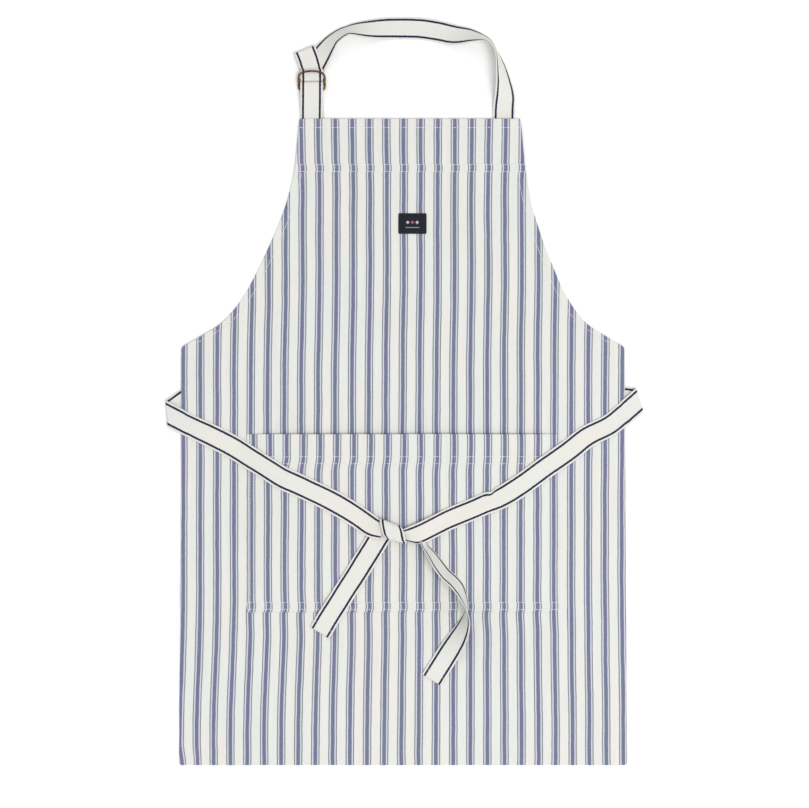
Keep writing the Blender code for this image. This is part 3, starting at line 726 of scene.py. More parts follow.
def puckers(x, y, rows, phase):
    # small gathers that the thread pulls into the cloth beside a row
    height = 0.0
    for row in rows:
        near = math.exp(-((y - row) / bodyCut["puckerReach"]) ** 2)
        if near > 0.02:
            wander = 0.6 * noise.noise(Vector((x * 55, row * 40, phase)))
            wave = math.sin(2 * math.pi * x / bodyCut["puckerLength"] + 3.0 * wander)
            height += near * (0.55 + 0.45 * wave + wander) * bodyCut["pucker"]
    return height


def soften(x, y, seed):
    # long soft hollows of cloth that has been folded and pressed, from 0 to 1
    broad = noise.noise(Vector((x * 6.5, y * 2.2, seed)))
    small = noise.noise(Vector((x * 19.0 + 5.0, y * 7.0, seed + 3.0)))
    return min(1.0, max(0.0, 0.5 + 0.9 * broad + 0.35 * small))


def bodySink(x, y):
    # depth below the flat hems
    edge = min(halfWidth(y) - abs(x - centreX(y)), y - bodyCut["hemY"], bodyCut["bibY"] - y)
    free = ease(bodyCut["hemDepth"] - 0.003, bodyCut["hemDepth"] + 0.010, edge)
    free *= ease(0.002, 0.024, pocketEdgeDistance(x, y))
    facing = bodyCut["facingSag"] if y > bodyCut["facingY"] else 1.0
    waistStart, waistEnd = bodyCut["waist"][1:3]
    behind = hill(waistStart - 0.05, waistStart, waistEnd, waistEnd + 0.05, y)
    overTies = 1.0 - bodyCut["tautOverTies"] * behind
    return bodyCut["sag"] * (0.30 + 0.70 * soften(x, y, 1.7)) * free * facing * overTies


def bodySkin(x, y):
    rows = (sewing["bibHem"],) + sewing["facing"]
    return bodyTop(y) - bodySink(x, y) - puckers(x, y, rows, 2.0)


def pocketSkin(x, y):
    top = pocketUnder(x, y) + bodyCut["cloth"]
    inner = ease(0.010, 0.035, min(pocketEdgeDistance(x, y), pocketCut["mouth"] - y + 0.012))
    rows = sewing["pocketHem"] + sewing["pocketFoot"]
    return top - pocketCut["sag"] * soften(x, y, 8.1) * inner - 0.8 * puckers(x, y, rows, 5.0)


# where the stripes wander: a slow drift and a fine jitter, and places where the cloth was pulled aside

pulls = {
    "skirt": (0.0052, 0.0026, 0.06, 0.62, -0.500, -0.290),   # left, right, still at, span, low, high
    "bib": (0.0016, 0.020, 0.160),                           # amount, low, high
    "bibSpread": (0.010, 0.020, 0.270, 0.370),               # share of the distance, middle, low, high
    "corner": (0.0034, -0.3140, 0.030, -0.4920),             # amount, corner, reach, highest
    "drift": (0.0007, 9, 12, 4.4),                           # amount, waves across, waves along, seed
    "jitter": (0.00035, 80, 30, 9.0),
    "foot": (-0.0011, 0.034),                                # amount, reach below the pocket
    "facing": 0.0009,
    "pocketRows": 0.0007,
    "pocketHem": (0.0017, 0.0014, 0.0005),                   # amount, lean, pull back below the hem
    "pocketLeft": (0.0011, 0.020, 0.060),
    "pocketRight": (-0.0016, 0.185, 0.245),
}


def wavering(kind, x, y):
    amount, across, along, seed = pulls[kind]
    return amount * noise.noise(Vector((x * across, y * along, seed)))


def betweenSeams(rows, y):
    # the cloth between two close rows is pulled along with them
    upper, lower = rows
    return hill(lower - 0.002, lower + 0.001, upper - 0.001, upper + 0.002, y)


def stripeShift(x, y, onPocket):
    left, right, still, span, low, high = pulls["skirt"]
    amount = left if x < still else right
    shift = amount * math.sin(math.pi * (x - still) / span) * (1.0 - ease(low, high, y))
    amount, low, high = pulls["bib"]
    shift += amount * ease(low, high, y)
    amount, middle, low, high = pulls["bibSpread"]
    shift += amount * (x - middle) * ease(low, high, y)
    amount, corner, reach, start = pulls["corner"]
    if y < start:
        shift += amount * math.exp(-((x - corner) / reach) ** 2) * ease(start, bodyCut["hemY"], y)
    shift += wavering("drift", x, y) + wavering("jitter", x, y)
    if onPocket:
        shift += pulls["pocketRows"] * betweenSeams(sewing["pocketFoot"], y)
        amount, lean, back = pulls["pocketHem"]
        bottom = sewing["pocketHem"][1]
        hem = ease(bottom - 0.012, bottom + 0.010, y)
        shift += hem * (amount - lean * math.sin(5.0 * (x - pocketCut["x"]))) - back * (1 - hem)
        amount, low, high = pulls["pocketLeft"]
        shift += amount * (1.0 - ease(low, high, x))
        amount, low, high = pulls["pocketRight"]
        shift += amount * ease(low, high, x)
    else:
        shift += pulls["facing"] * betweenSeams(sewing["facing"], y)
        amount, reach = pulls["foot"]
        below = pocketCut["foot"] - y
        if -0.01 < below and abs(x - pocketCut["x"]) < pocketCut["half"] + 0.01:
            middle = min(1.0, 0.2 + abs(x - pocketCut["x"]) / 0.14)
            shift += amount * middle * (1.0 - ease(0.004, reach, max(0.0, below)))
    return shift


def bodyRows():
    hem, hip, bib = bodyCut["hemY"], bodyCut["hipY"], bodyCut["bibY"]
    deep, step, fine = bodyCut["hemDepth"], bodyCut["rowStep"], bodyCut["fineStep"]
    rows = [hem, hem + 0.0006, hem + 0.0015, hem + 0.003, hem + 0.006]
    rows += spread(hem + deep - 0.002, pocketCut["foot"] - 0.006, step)
    rows += spread(pocketCut["foot"] - 0.004, pocketCut["foot"] + 0.004, 0.002)
    rows += spread(pocketCut["foot"] + 0.010, hip - step, step * 1.4)
    rows += [hip - 0.003, hip - 0.001, hip]
    seamLow, seamHigh = bodyCut["seamRows"]
    rows += spread(hip + 0.0015, bodyCut["hipRows"], fine)
    rows += spread(bodyCut["hipRows"] + 0.003, seamLow - 0.0028, step)
    rows += spread(seamLow, seamHigh, fine)
    rows += spread(seamHigh + 0.004, bib - 0.004, 0.0042)
    rows += [bib - 0.0015, bib - 0.0005, bib]
    return rows


def roundCorner(y, half):
    # the folded corners of the hem and of the hips aren't sharp
    radius = bodyCut["cornerRound"]
    above = y - bodyCut["hemY"]
    if above < radius:
        half -= radius - math.sqrt(max(0.0, radius ** 2 - (radius - above) ** 2))
    hipGap = abs(y - bodyCut["hipY"])
    if hipGap < radius:
        half -= 0.5 * radius * (1.0 - hipGap / radius) ** 2
    topGap = bodyCut["bibY"] - y
    reach, depth = bodyCut["topRound"]
    if topGap < reach:
        half -= depth * (1.0 - topGap / reach) ** 2
    return half


def makeBody():
    deep, hem = bodyCut["hemDepth"], bodyCut["hemY"]
    offsets = [0.0, 0.0006, 0.0018, 0.0045, 0.008, deep - 0.0008]
    inside = bodyCut["columns"] - 2 * (len(offsets) - 1)
    cells = []
    for y in bodyRows():
        half, middle = roundCorner(y, halfWidth(y)), centreX(y)
        inner = half - deep - 0.001
        left = [-half + d for d in offsets]
        row = []
        for offset in left + spread(-inner, inner, 2 * inner / inside) + [-x for x in reversed(left)]:
            wave = noise.noise(Vector((3.0 * offset / half, y * 26, 6.0)))
            x = middle + offset + bodyCut["edgeWave"] * wave * abs(offset) / half
            folded = half - abs(offset) < deep or y <= hem + deep or y >= bodyCut["facingY"]
            foot = y
            if y < hem + 0.02:
                foot += bodyCut["footWave"] * noise.noise(Vector((x * 14, 2.0, 2.0)))
            z = bodySkin(x, y)
            thick = bodyCut["cloth"] + (bodyCut["hemFold"] if folded else 0.0)
            under = max(z - thick, floorGap)
            row.append((Vector((x, foot, under)), Vector((x, foot, z)), (x - stripeShift(x, y, False), y)))
        cells.append(row)
    piece = sheetSolid("apronBody", *grids(cells), "ticking")
    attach(piece, "body")
    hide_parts("body_panel")


def makePocket():
    left, right = pocketCut["x"] - pocketCut["half"], pocketCut["x"] + pocketCut["half"]
    foot, mouth, step = pocketCut["foot"], pocketCut["mouth"], pocketCut["step"]
    columns = [left, left + 0.0008, left + 0.0025] + spread(left + 0.0045, right - 0.0045, step)
    columns += [right - 0.0025, right - 0.0008, right]
    rows = [foot, foot + 0.0008] + spread(foot + 0.0025, foot + 0.026, 0.0022)
    rows += spread(foot + 0.030, -0.112, step) + spread(-0.1085, -0.086, 0.0023)
    rows += spread(-0.082, mouth - 0.004, step) + [mouth - 0.0015, mouth - 0.0006, mouth]
    cells = []
    for y in rows:
        row = []
        for x in columns:
            z = pocketSkin(x, y)
            sewn = bodyTop(y) + bodyCut["clear"]
            gape = (pocketUnder(x, y) - sewn) / (pocketCut["ceiling"] - sewn)
            fold = pocketCut["hemFold"] * gape if y > sewing["pocketHem"][1] else 0.0
            sway = pocketCut["sway"] * noise.noise(Vector((x * 11, 0.0, 3.0))) * ease(-0.12, mouth, y)
            lip, under = y + sway, z - bodyCut["cloth"] - fold
            row.append((Vector((x, lip, under)), Vector((x, lip, z)), (x - stripeShift(x, y, True), y)))
        cells.append(row)
    piece = sheetSolid("apronPocket", *grids(cells), "ticking")
    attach(piece, "body")
    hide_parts("pocket_panel")


makeBody()
makePocket()
print("body and pocket cut")


# The label

label = {
    "x": 0.0111,
    "y": 0.2343,
    "width": 0.0396,
    "height": 0.0289,
    "thick": 0.0006,
    "radius": 0.0016,
    "threadIn": 0.0018,
    "tilt": 0.004,
    "puff": 0.00028,             # how far it swells inside its seam
    "seamDip": 0.0001,
    "under": 0.00012,
}


def makeLabel():
    def edgeHalf(away, half, other):
        # half the width at a place, less near the round corners
        gap, radius = other - abs(away), label["radius"]
        if gap >= radius:
            return half
        return half - radius + math.sqrt(max(0.0, radius ** 2 - (radius - gap) ** 2))

    halfX, halfY = label["width"] / 2, label["height"] / 2
    ends = [0.0, 0.0003, 0.0009, 0.0018]
    rows = [-halfY + e for e in ends] + spread(-halfY + 0.003, halfY - 0.003, 0.0018)
    rows += [halfY - e for e in reversed(ends)]
    cells = []
    for v in rows:
        half = edgeHalf(v, halfX, halfY)
        row = []
        for share in spread(-1.0, 1.0, 0.08):
            u = half * math.sin(share * math.pi / 2)
            x = label["x"] + u + label["tilt"] * v
            y = label["y"] + v - label["tilt"] * u
            nearEdge = min(halfX - abs(u), halfY - abs(v))
            puff = label["puff"] * ease(0.0014, 0.006, nearEdge)
            puff -= label["seamDip"] * math.exp(-((nearEdge - label["threadIn"]) / 0.0006) ** 2)
            base = bodySkin(x, y)
            top = base + bodyCut["clear"] + puff * 0.8 + label["thick"] - 0.0001
            row.append((Vector((x, y, base + label["under"])), Vector((x, y, top)), (u, v)))
        cells.append(row)
    piece = sheetSolid("bibLabel", *grids(cells), "label")
    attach(piece, "body")
    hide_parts("bib_label")


makeLabel()
print("label sewn on")


# Tapes

tapeRun = {"columns": 14, "clear": 0.0009, "bridge": 0.006, "step": 0.0042, "cutReach": 12}


def tapeRest(x, y, bridge=tapeRun["bridge"]):
    # tape is stiff enough to bridge small steps in what is below it
    steps = (-bridge, 0.0, bridge)
    return max(clothTop(x + dx, y + dy) for dx in steps for dy in steps) + tapeRun["clear"]


def acrossShares():
    # places across a tape, closer together near the selvedges
    inner = spread(-0.44, 0.44, 0.88 / (tapeRun["columns"] - 2))
    return [-0.5, -0.475] + inner + [0.475, 0.5]


def rowOfTape(centre, wide, width):
    return [centre + wide * (width * share) for share in acrossShares()]


def tapeSolid(name, middle, normals, start=0.0):
    # a tape from its middle surface and the normals there; start is where its weave begins
    half = tapeCloth["thick"] / 2
    low = [[p - n * half for p, n in zip(row, out)] for row, out in zip(middle, normals)]
    high = [[p + n * half for p, n in zip(row, out)] for row, out in zip(middle, normals)]
    core = len(middle[0]) // 2
    travel, places = start, []
    for i, row in enumerate(middle):
        if i:
            travel += (row[core] - middle[i - 1][core]).length
        places.append([(tapeCloth["width"] * share, travel) for share in acrossShares()])
    piece = sheetSolid(name, low, high, places, "tape")
    return piece, travel - start


def laidRows(centres, width, cut, under, sway=0.0, seed=0.0):
    # rows of a tape that lies on what is below it; cut gives the direction of each end's edge
    last, reach = len(centres) - 1, tapeRun["cutReach"]
    middle, normals = [], []
    for i, (centre, heading) in enumerate(zip(centres, headings(centres))):
        across = sideOf(heading)
        lean = 0.0
        for edge, away in ((cut[0], i), (cut[1], last - i)):
            if edge is not None and away < reach:
                lean += edge.dot(heading) / edge.dot(across) * (1.0 - away / reach)
        row = []
        for share in acrossShares():
            shift = sway * noise.noise(Vector((i * 0.11, share * 0.8, seed)))
            p = centre + (width * share + shift) * across + lean * width * share * heading
            row.append(Vector((p.x, p.y, under(p.x, p.y) + tapeCloth["thick"] / 2)))
        middle.append(row)
        normals.append([Vector((0, 0, 1))] * len(row))
    return middle, normals


def halfTurn(y, z, radius, start, steps):
    # a half circle about a place in Y and Z
    angles = [start + math.pi * n / steps for n in range(steps + 1)]
    return [(y + radius * math.cos(angle), z + radius * math.sin(angle)) for angle in angles]


def foldEdge(going, coming):
    outward = (Vector(going) - Vector(coming)).normalized()
    return outward, Vector((-outward.y, outward.x, 0.0))


ties = {
    "loops": {                   # middle of the fold's edge, heading out, heading back
        "left": ((-0.3325, -0.0310, 0.0), (-0.810, -0.586, 0.0), (0.888, -0.460, 0.0)),
        "right": ((0.3286, -0.0120, 0.0), (0.991, -0.105, 0.0), (-0.750, -0.661, 0.0)),
    },
    "backRuns": {                # from the hip where it is sewn to the other side of the body
        "left": [(0.2960, 0.0440), (0.1500, 0.0350), (0.0, 0.0190), (-0.1500, 0.0000), (-0.2500, -0.0030)],
        "right": [(-0.2980, 0.0440), (-0.1500, 0.0370), (0.0, 0.0200), (0.1500, 0.0000), (0.2400, -0.0040)],
    },
    "frontRuns": {
        "left": [(-0.2485, -0.0736), (-0.2110, -0.0962), (-0.1736, -0.1196), (-0.1463, -0.1323),
                 (-0.0932, -0.1582), (-0.0630, -0.1770), (-0.0460, -0.1885), (-0.0300, -0.1950)],
        "right": [(0.2863, -0.0480), (0.2555, -0.0641), (0.2303, -0.0830), (0.1939, -0.1093),
                  (0.1617, -0.1317), (0.1337, -0.1500), (0.1113, -0.1590), (0.0637, -0.1794),
                  (0.0284, -0.1962), (0.0150, -0.2025), (-0.0100, -0.2144)],
    },
    "backStep": 0.012,
    "underTurn": 6,              # the front piece starts this many rows before the fold's edge
    "crossing": (0.160, 0.210),
    "loopReach": 0.026,
    "blendFrom": {"left": (-0.318, -0.040, 0.003), "right": (0.318, -0.030, 0.003)},
    "blendTo": {"left": (-0.170, -0.040, 0.003), "right": (0.170, -0.030, 0.003)},
    "sway": 0.0008,
    "seed": {"left": 2.0, "right": 6.0},
    "underKnot": 0.0050,         # the runs climb this much into the knot
    "climb": {"left": (0.014, 0.050), "right": (0.036, 0.085)},
}


def loopRows(edgeMiddle, going, coming, low, high, reach):
    # a tape that comes out from under the body, turns over and goes back across it
    outward, along = foldEdge(going, coming)
    radius = (high - low) / 2
    forward = Vector(going).dot(outward)
    slant = Vector(going).dot(along)
    width = tapeCloth["width"] / forward
    start = Vector(edgeMiddle) - outward * radius
    bend = math.pi * radius
    travel = spread(-reach, -0.003, 0.004) + [-0.0012] + spread(0.0, bend, bend / 12)
    travel += [bend + 0.0012] + spread(bend + 0.003, bend + reach, 0.004)
    middle, normals = [], []
    for p in travel:
        turn = min(math.pi, max(0.0, p / radius))
        out = p if p <= 0 else radius * math.sin(turn) if p < bend else bend - p
        height = low + radius * (1 - math.cos(turn))
        shift = (p - bend / 2) / forward * slant
        row = []
        for share in acrossShares():
            place = start + outward * out + along * (width * share + shift)
            row.append(Vector((place.x, place.y, height)))
        normal = outward * math.sin(turn) - Vector((0, 0, math.cos(turn)))
        middle.append(row)
        normals.append([normal] * len(row))
    ends = [sum(middle[i], Vector()) / len(middle[i]) for i in (0, -1)]
    return middle, normals, ends, along


def layTape(piece, body, nodes):
    if body:
        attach(piece, body)
    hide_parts(*nodes)


def makeTies():
    width, thick = tapeCloth["width"], tapeCloth["thick"]
    low, high = thick / 2, bodyTop(0.0) + tapeRun["clear"] + thick / 2
    for side, (edge, going, coming) in ties["loops"].items():
        loop, turned, ends, along = loopRows(edge, going, coming, low, high, ties["loopReach"])
        rise = thick + bodyCut["clear"] if side == "right" else 0.0

        def over(x, y, rise=rise):
            return rise * (1.0 - ease(*ties["crossing"], abs(x)))

        behind, front = [(end.x, end.y) for end in ends]
        centres = flatThrough(ties["backRuns"][side] + [behind], ties["backStep"])
        rows, out = laidRows(centres, width, (None, along), over)
        out = [[-n for n in row] for row in out]
        shared = len(loop) // 2 - ties["underTurn"]
        rows = rows[:-1] + loop[:shared]
        out = out[:-1] + turned[:shared]
        backPiece, backLength = tapeSolid("waistTieBack" + side.capitalize(), rows, out)
        layTape(backPiece, "body", ["tie_back_run_" + side])

        def lie(x, y, side=side):
            near = 1.0 - ease(*ties["climb"][side], abs(x - knot["x"]))
            return tapeRest(x, y) + ties["underKnot"] * near

        centres = flatThrough([front] + ties["frontRuns"][side], tapeRun["step"])
        rows, out = laidRows(centres, width, (along, None), lie, ties["sway"], ties["seed"][side])
        gather = squeeze if side == "left" else gatherRun
        gather(rows, centres)
        rows = [row[::-1] for row in loop[shared - 1:-1]] + rows
        out = turned[shared - 1:-1] + out
        frontPiece, frontLength = tapeSolid("waistTieFront" + side.capitalize(), rows, out, backLength)
        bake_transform(frontPiece)
        layTape(frontPiece, None, ["tie_side_loop_" + side, "tie_front_run_" + side])
        print("waist tie", side, "cm behind and in front:", round(backLength * 100), round(frontLength * 100))


# the left run narrows evenly and bows up a little
pinch = {"amount": 0.30, "span": (0.004, 0.036), "bow": 0.006}

# the right run is gathered against its upper selvedge
# its loose lower part bulges and turns under
gathering = {
    "least": 0.42,
    "tautness": 0.06,
    "tautFade": (0.10, 0.16),
    "span": (-0.006, 0.018),
    "bulge": (0.001, 0.009, 0.016, 0.026),
    "turnUnder": {0.475: (0.0005, 0.0007), 0.5: (0.0011, 0.0014)},   # share across: back, drop
    "pleat": (-0.04, 0.30, -0.002, 0.025),                           # share across at each end, from, to
    "pleatStep": 0.0011,
    "ruck": (0.0022, 5.0, 16.0),                                     # height, phase, waves across
    "kink": (0.1195, 0.0046, 0.0026, 0.0012),                        # place, reach, depth, lift
}


def squeeze(rows, centres):
    for row, centre in zip(rows, centres):
        near = math.hypot(centre.x - knot["x"], centre.y - knot["y"])
        width = 1.0 - pinch["amount"] * (1.0 - ease(*pinch["span"], near))
        middle = row[len(row) // 2].copy()
        for i, share in enumerate(acrossShares()):
            away = (row[i] - middle) * width
            away.z += (1.0 - width) * pinch["bow"] * (1.0 - (2 * share) ** 2)
            row[i] = middle + away


def gatherRun(rows, centres):
    placeLow, placeHigh, pleatFrom, pleatTo = gathering["pleat"]
    height, phase, waves = gathering["ruck"]
    kinkX, reach, depth, lift = gathering["kink"]
    for row, centre in zip(rows, centres):
        free = ease(*gathering["span"], centre.x)
        width = gathering["least"] + (1.0 - gathering["least"]) * free
        width -= gathering["tautness"] * free * (1.0 - ease(*gathering["tautFade"], centre.x))
        bulge = hill(*gathering["bulge"], centre.x)
        pleat = 1.0 - ease(pleatTo - 0.010, pleatTo, centre.x)
        crease = placeLow + (placeHigh - placeLow) * ease(pleatFrom, pleatTo, centre.x)
        anchor = row[0].copy()
        lengthwise = (row[-1] - row[0]).normalized()
        for i, share in enumerate(acrossShares()):
            p = anchor + (row[i] - anchor) * width
            p.z = row[i].z + (1.0 - width) * height * math.sin(phase + share * waves)
            p.z -= gathering["pleatStep"] * pleat * ease(crease - 0.03, crease + 0.03, share)
            if share in gathering["turnUnder"]:
                back, drop = gathering["turnUnder"][share]
                p -= lengthwise * back * bulge
                p.z -= drop * bulge
            near = math.exp(-((p.x - kinkX) / reach) ** 2) * (1.0 - ease(-0.5, 0.1, share))
            p += lengthwise * depth * near + Vector((0.0, 0.0, lift * near * (0.5 + share) * 2))
            row[i] = p


# The knot: the left tie goes over the right one, round it and out below as the left tail

knot = {
    "x": -0.0162,
    "y": -0.1966,
    "height": 0.0125,
    "gap": 0.0008,
    "bandLength": 0.0134,        # half the band's reach from top edge to foot
    "bandHeading": (0.200, -0.980, 0.0),
    "turn": (-62, 242, 8),       # degrees round the bundle: start, end, step
    "square": (0.62, 0.80),      # how boxy the section is, along and up
    "slant": 0.66,               # the right selvedge lies lower than the left one
    "slantFade": 0.28,
    "footShift": 0.0020,
    "camber": 0.0022,
    "ruck": 0.0007,
    "bandWidth": 0.95,
    "footWidth": 0.10,
    "weaveStart": 0.31,
}


def makeKnotBand():
    heading = Vector(knot["bandHeading"]).normalized()
    across = sideOf(heading)
    base = tapeRest(knot["x"], knot["y"]) + knot["gap"]
    half = knot["height"] / 2
    centre = Vector((knot["x"], knot["y"], base + half))
    squareAlong, squareUp = knot["square"]
    middle, normals = [], []
    for angle in reversed(spread(*(math.radians(a) for a in knot["turn"]))):
        cosine, sine = math.cos(angle), math.sin(angle)
        out = -math.copysign(abs(cosine) ** squareAlong, cosine) * knot["bandLength"]
        up = math.copysign(abs(sine) ** squareUp, sine) * half
        point = centre + heading * out + Vector((0, 0, up))
        turn = across + heading * knot["slant"] * (1.0 - knot["slantFade"] * ease(-0.2, 1.0, -cosine))
        point += across * knot["footShift"] * ease(-0.3, -1.0, cosine)
        gather = knot["bandWidth"] - knot["footWidth"] * abs(cosine) ** 3
        normal = (heading * (-cosine * half / knot["bandLength"] * 1.6) + Vector((0, 0, sine))).normalized()
        row = []
        for share in acrossShares():
            bow = knot["camber"] * (2 * share) ** 2 * max(0.0, sine)
            ruck = knot["ruck"] * math.sin(share * 21.0 + angle * 1.5) * (0.3 + abs(cosine)) * max(0.0, sine)
            row.append(point + turn * (tapeCloth["width"] * gather * share) - normal * (bow + ruck))
        middle.append(row)
        normals.append([normal] * len(row))
    piece, length = tapeSolid("knotBand", middle, normals, knot["weaveStart"])
    layTape(piece, "front_tie", ["tie_knot"])
    return length


# the turn of tape that leaves the band below and stands up into the right tail
knotTurn = {
    "route": [(-0.0080, -0.2000), (0.0040, -0.2005), (0.0140, -0.2015), (0.0220, -0.2045), (0.0268, -0.2110)],
    "tilts": [0, 3, 4, 5, 12, 40],
    "widths": [0.30, 0.30, 0.30, 0.30, 0.32, 0.42],
    "gap": 0.0002,
    "tailWidths": (0.52, 0.026),  # the tail starts this narrow and is full after this length
}


def tilted(centre, heading, tilt, width):
    across = -sideOf(heading)
    wide = across * math.cos(tilt) + Vector((0, 0, math.sin(tilt)))
    normal = Vector((0, 0, math.cos(tilt))) - across * math.sin(tilt)
    return rowOfTape(centre, wide, width), [normal] * len(acrossShares())


def between(values, share):
    place = share * (len(values) - 1)
    low = min(int(place), len(values) - 2)
    return values[low] + (values[low + 1] - values[low]) * (place - low)


tails = {
    "left": [(-0.0250, -0.1873), (-0.0440, -0.2177), (-0.0815, -0.2777), (-0.1190, -0.3378)],
    "right": [(0.0294, -0.2177), (0.0367, -0.2264), (0.0468, -0.2413), (0.0570, -0.2547), (0.0687, -0.2654),
              (0.0772, -0.2765), (0.0845, -0.2936), (0.0860, -0.3045), (0.0835, -0.3230), (0.0745, -0.3440),
              (0.0560, -0.3750), (0.0378, -0.4043)],
    "rightTilts": [60, 62, 60, 60, 78, 114, 144, 166, 180, 180],
    "step": 0.0035,
    "bridge": 0.013,
    "endHem": 0.010,
    "hemRise": 0.0004,
    "leftSway": (0.0006, 11.0),                  # amount and seed
    "weaveStart": {"left": 0.36, "right": 0.44},
    "blends": {                                  # where each tail starts to bend and where it is free
        "left": ((-0.0400, -0.2113, 0.011), (-0.0520, -0.2305, 0.011)),
        "right": ((0.0262, -0.2166, 0.012), (0.0375, -0.2311, 0.012)),
    },
}


def endHem(rows, normals):
    # the last stretch is folded under twice, so it lies a little higher
    core = len(rows[0]) // 2
    for row, out in zip(rows, normals):
        if (row[core] - rows[-1][core]).length < tails["endHem"]:
            row[:] = [p + n * tails["hemRise"] for p, n in zip(row, out)]


def standingRows(centres, ways, tilts, widths, ground):
    # a tape that stands more or less on one selvedge; its tilt along the route is in degrees
    middle, normals = [], []
    for i, (centre, heading, width) in enumerate(zip(centres, ways, widths)):
        tilt = math.radians(between(tilts, i / (len(centres) - 1)))
        rest = ground(centre.x, centre.y) + tapeCloth["thick"] / 2 + width / 2 * abs(math.sin(tilt))
        row, normal = tilted(centre + Vector((0, 0, rest)), heading, tilt, width)
        middle.append(row)
        normals.append(normal)
    return middle, normals


def layTail(side, rows, out, faces):
    # faces are the normals of the side that shows at the end
    endHem(rows, faces)
    name = "tail" + side.capitalize()
    piece, length = tapeSolid(name, rows, out, tails["weaveStart"][side])
    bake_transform(piece)
    layTape(piece, None, ["tie_tail_" + side])
    sewEnd(name + "EndStitching", rows, faces, side + "_tail", "tail_" + side + "_end_stitching")
    return length


def makeTails():
    width, step = tapeCloth["width"], tails["step"]
    rows, out = laidRows(flatThrough(tails["left"], step), width, (None, None), tapeRest, *tails["leftSway"])
    leftLength = layTail("left", rows, out, out)

    def tailGround(x, y):
        return tapeRest(x, y, tails["bridge"])

    def turnGround(x, y):
        return tapeRest(x, y) + knotTurn["gap"]

    centres = flatThrough(tails["right"], step)
    narrow, reach = knotTurn["tailWidths"]
    widths = [width * (narrow + (1.0 - narrow) * min(1.0, (p - centres[0]).length / reach)) for p in centres]
    rows, out = standingRows(centres, headings(centres), tails["rightTilts"], widths, tailGround)
    count = len(flatThrough(knotTurn["route"], step))
    centres = flatThrough(knotTurn["route"] + tails["right"][:2], step)[:count]
    widths = [width * between(knotTurn["widths"], i / (count - 1)) for i in range(count)]
    turnRows, turnOut = standingRows(centres, headings(centres), knotTurn["tilts"], widths, turnGround)
    rows, out = turnRows + rows, turnOut + out
    rightLength = layTail("right", rows, out, [[-n for n in row] for row in out])
    print("tails, cm:", round(leftLength * 100), round(rightLength * 100))


# The neck: two rings in a tab on the left, the strap through them and round to the right

rings = {
    "x": -0.1297,
    "wire": 0.0028,
    "half": 0.0184,
    "corner": 0.0032,
    "depth": 0.0178,
    "squareness": 0.41,
    "wireStep": 0.0012,
    "back": (0.4214, 0.0028, 0.0),               # bar's Y and Z, tilt in degrees
    "front": (0.4290, 0.0059, 6.0),
}

neck = {
    "tapeWidth": 0.0314,
    "foldY": 0.4283,
    "foldZ": 0.0044,
    "foldRadius": 0.0039,
    "sewnY": 0.352,
    "tabSkew": 0.0040,           # the back layer of the tab stands out on the right
    "wrapY": 0.4358,
    "wrapEnd": 0.4440,
    "strapLow": 0.0005,
    "strapHigh": 0.0052,
    "freeStart": 0.4500,
    "route": [(-0.1270, 0.4520), (-0.1185, 0.4660), (-0.1090, 0.4800), (-0.0970, 0.4930), (-0.0777, 0.5032),
              (-0.0469, 0.5058), (-0.0175, 0.5078), (0.0203, 0.5073), (0.0469, 0.5034), (0.0707, 0.4980),
              (0.0945, 0.4957), (0.1169, 0.4885), (0.1300, 0.4680), (0.1370, 0.4400), (0.1404, 0.4144),
              (0.1396, 0.3980), (0.1392, 0.3814)],
    "tilts": [0, 20, 48, 56, 30, 8, 0, 0, 0, 8, 36, 66, 82, 62, 42, 10, 0],
    "freeEnd": [(-0.1304, 0.4500), (-0.1345, 0.4640), (-0.1397, 0.4774)],
    "freeLift": 0.0008,
    "fray": 0.0007,
    "curl": 0.0006,
    "freeBlend": ((-0.1306, 0.4508, 0.0052), (-0.1325, 0.4580, 0.0052)),
    "weaveStart": 0.05,
    "freeWeaveStart": 0.01,
    "blendStart": (0.0, 0.374, 0.003),
    "blendEnd": (0.0, 0.395, 0.003),
}


def ringOutline():
    # a straight bar, a small round corner, the bow, and the other corner
    straight, corner = rings["half"] - rings["corner"], rings["corner"]
    points = [(x, 0.0) for x in spread(-straight, straight, straight / 4)]

    def addCorner(middle, start):
        for n in range(1, 6):
            angle = start + math.pi / 2 * n / 6
            points.append((middle + corner * math.cos(angle), corner + corner * math.sin(angle)))

    addCorner(straight, -math.pi / 2)
    rise = rings["depth"] - corner
    for n in range(49):
        angle = math.pi * n / 48
        height = rise * math.sin(angle) ** rings["squareness"]
        points.append((rings["half"] * math.cos(angle), corner + height))
    addCorner(-straight, math.pi)
    loop = [Vector((x, y, 0.0)) for x, y in points]
    return evenly(loop + [loop[0]], rings["wireStep"])[:-1]


def makeRing(name, place, body, node):
    y0, z0, tilt = place
    tilt = math.radians(tilt)
    curve = bpy.data.curves.new(name, "CURVE")
    curve.dimensions = "3D"
    curve.bevel_depth = rings["wire"] / 2
    curve.bevel_resolution = 5
    line = curve.splines.new("POLY")
    outline = ringOutline()
    line.points.add(len(outline) - 1)
    for point, p in zip(line.points, outline):
        point.co = (rings["x"] + p.x, y0 + p.y * math.cos(tilt), z0 + p.y * math.sin(tilt), 1.0)
    line.use_cyclic_u = True
    wire = bpy.data.objects.new(name + "Wire", curve)
    bpy.context.collection.objects.link(wire)
    mesh = bpy.data.meshes.new_from_object(wire.evaluated_get(bpy.context.evaluated_depsgraph_get()))
    bpy.data.objects.remove(wire)
    mesh.name = name
    piece = newPiece(name, mesh, "brass")
    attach(piece, body)
    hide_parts(node)


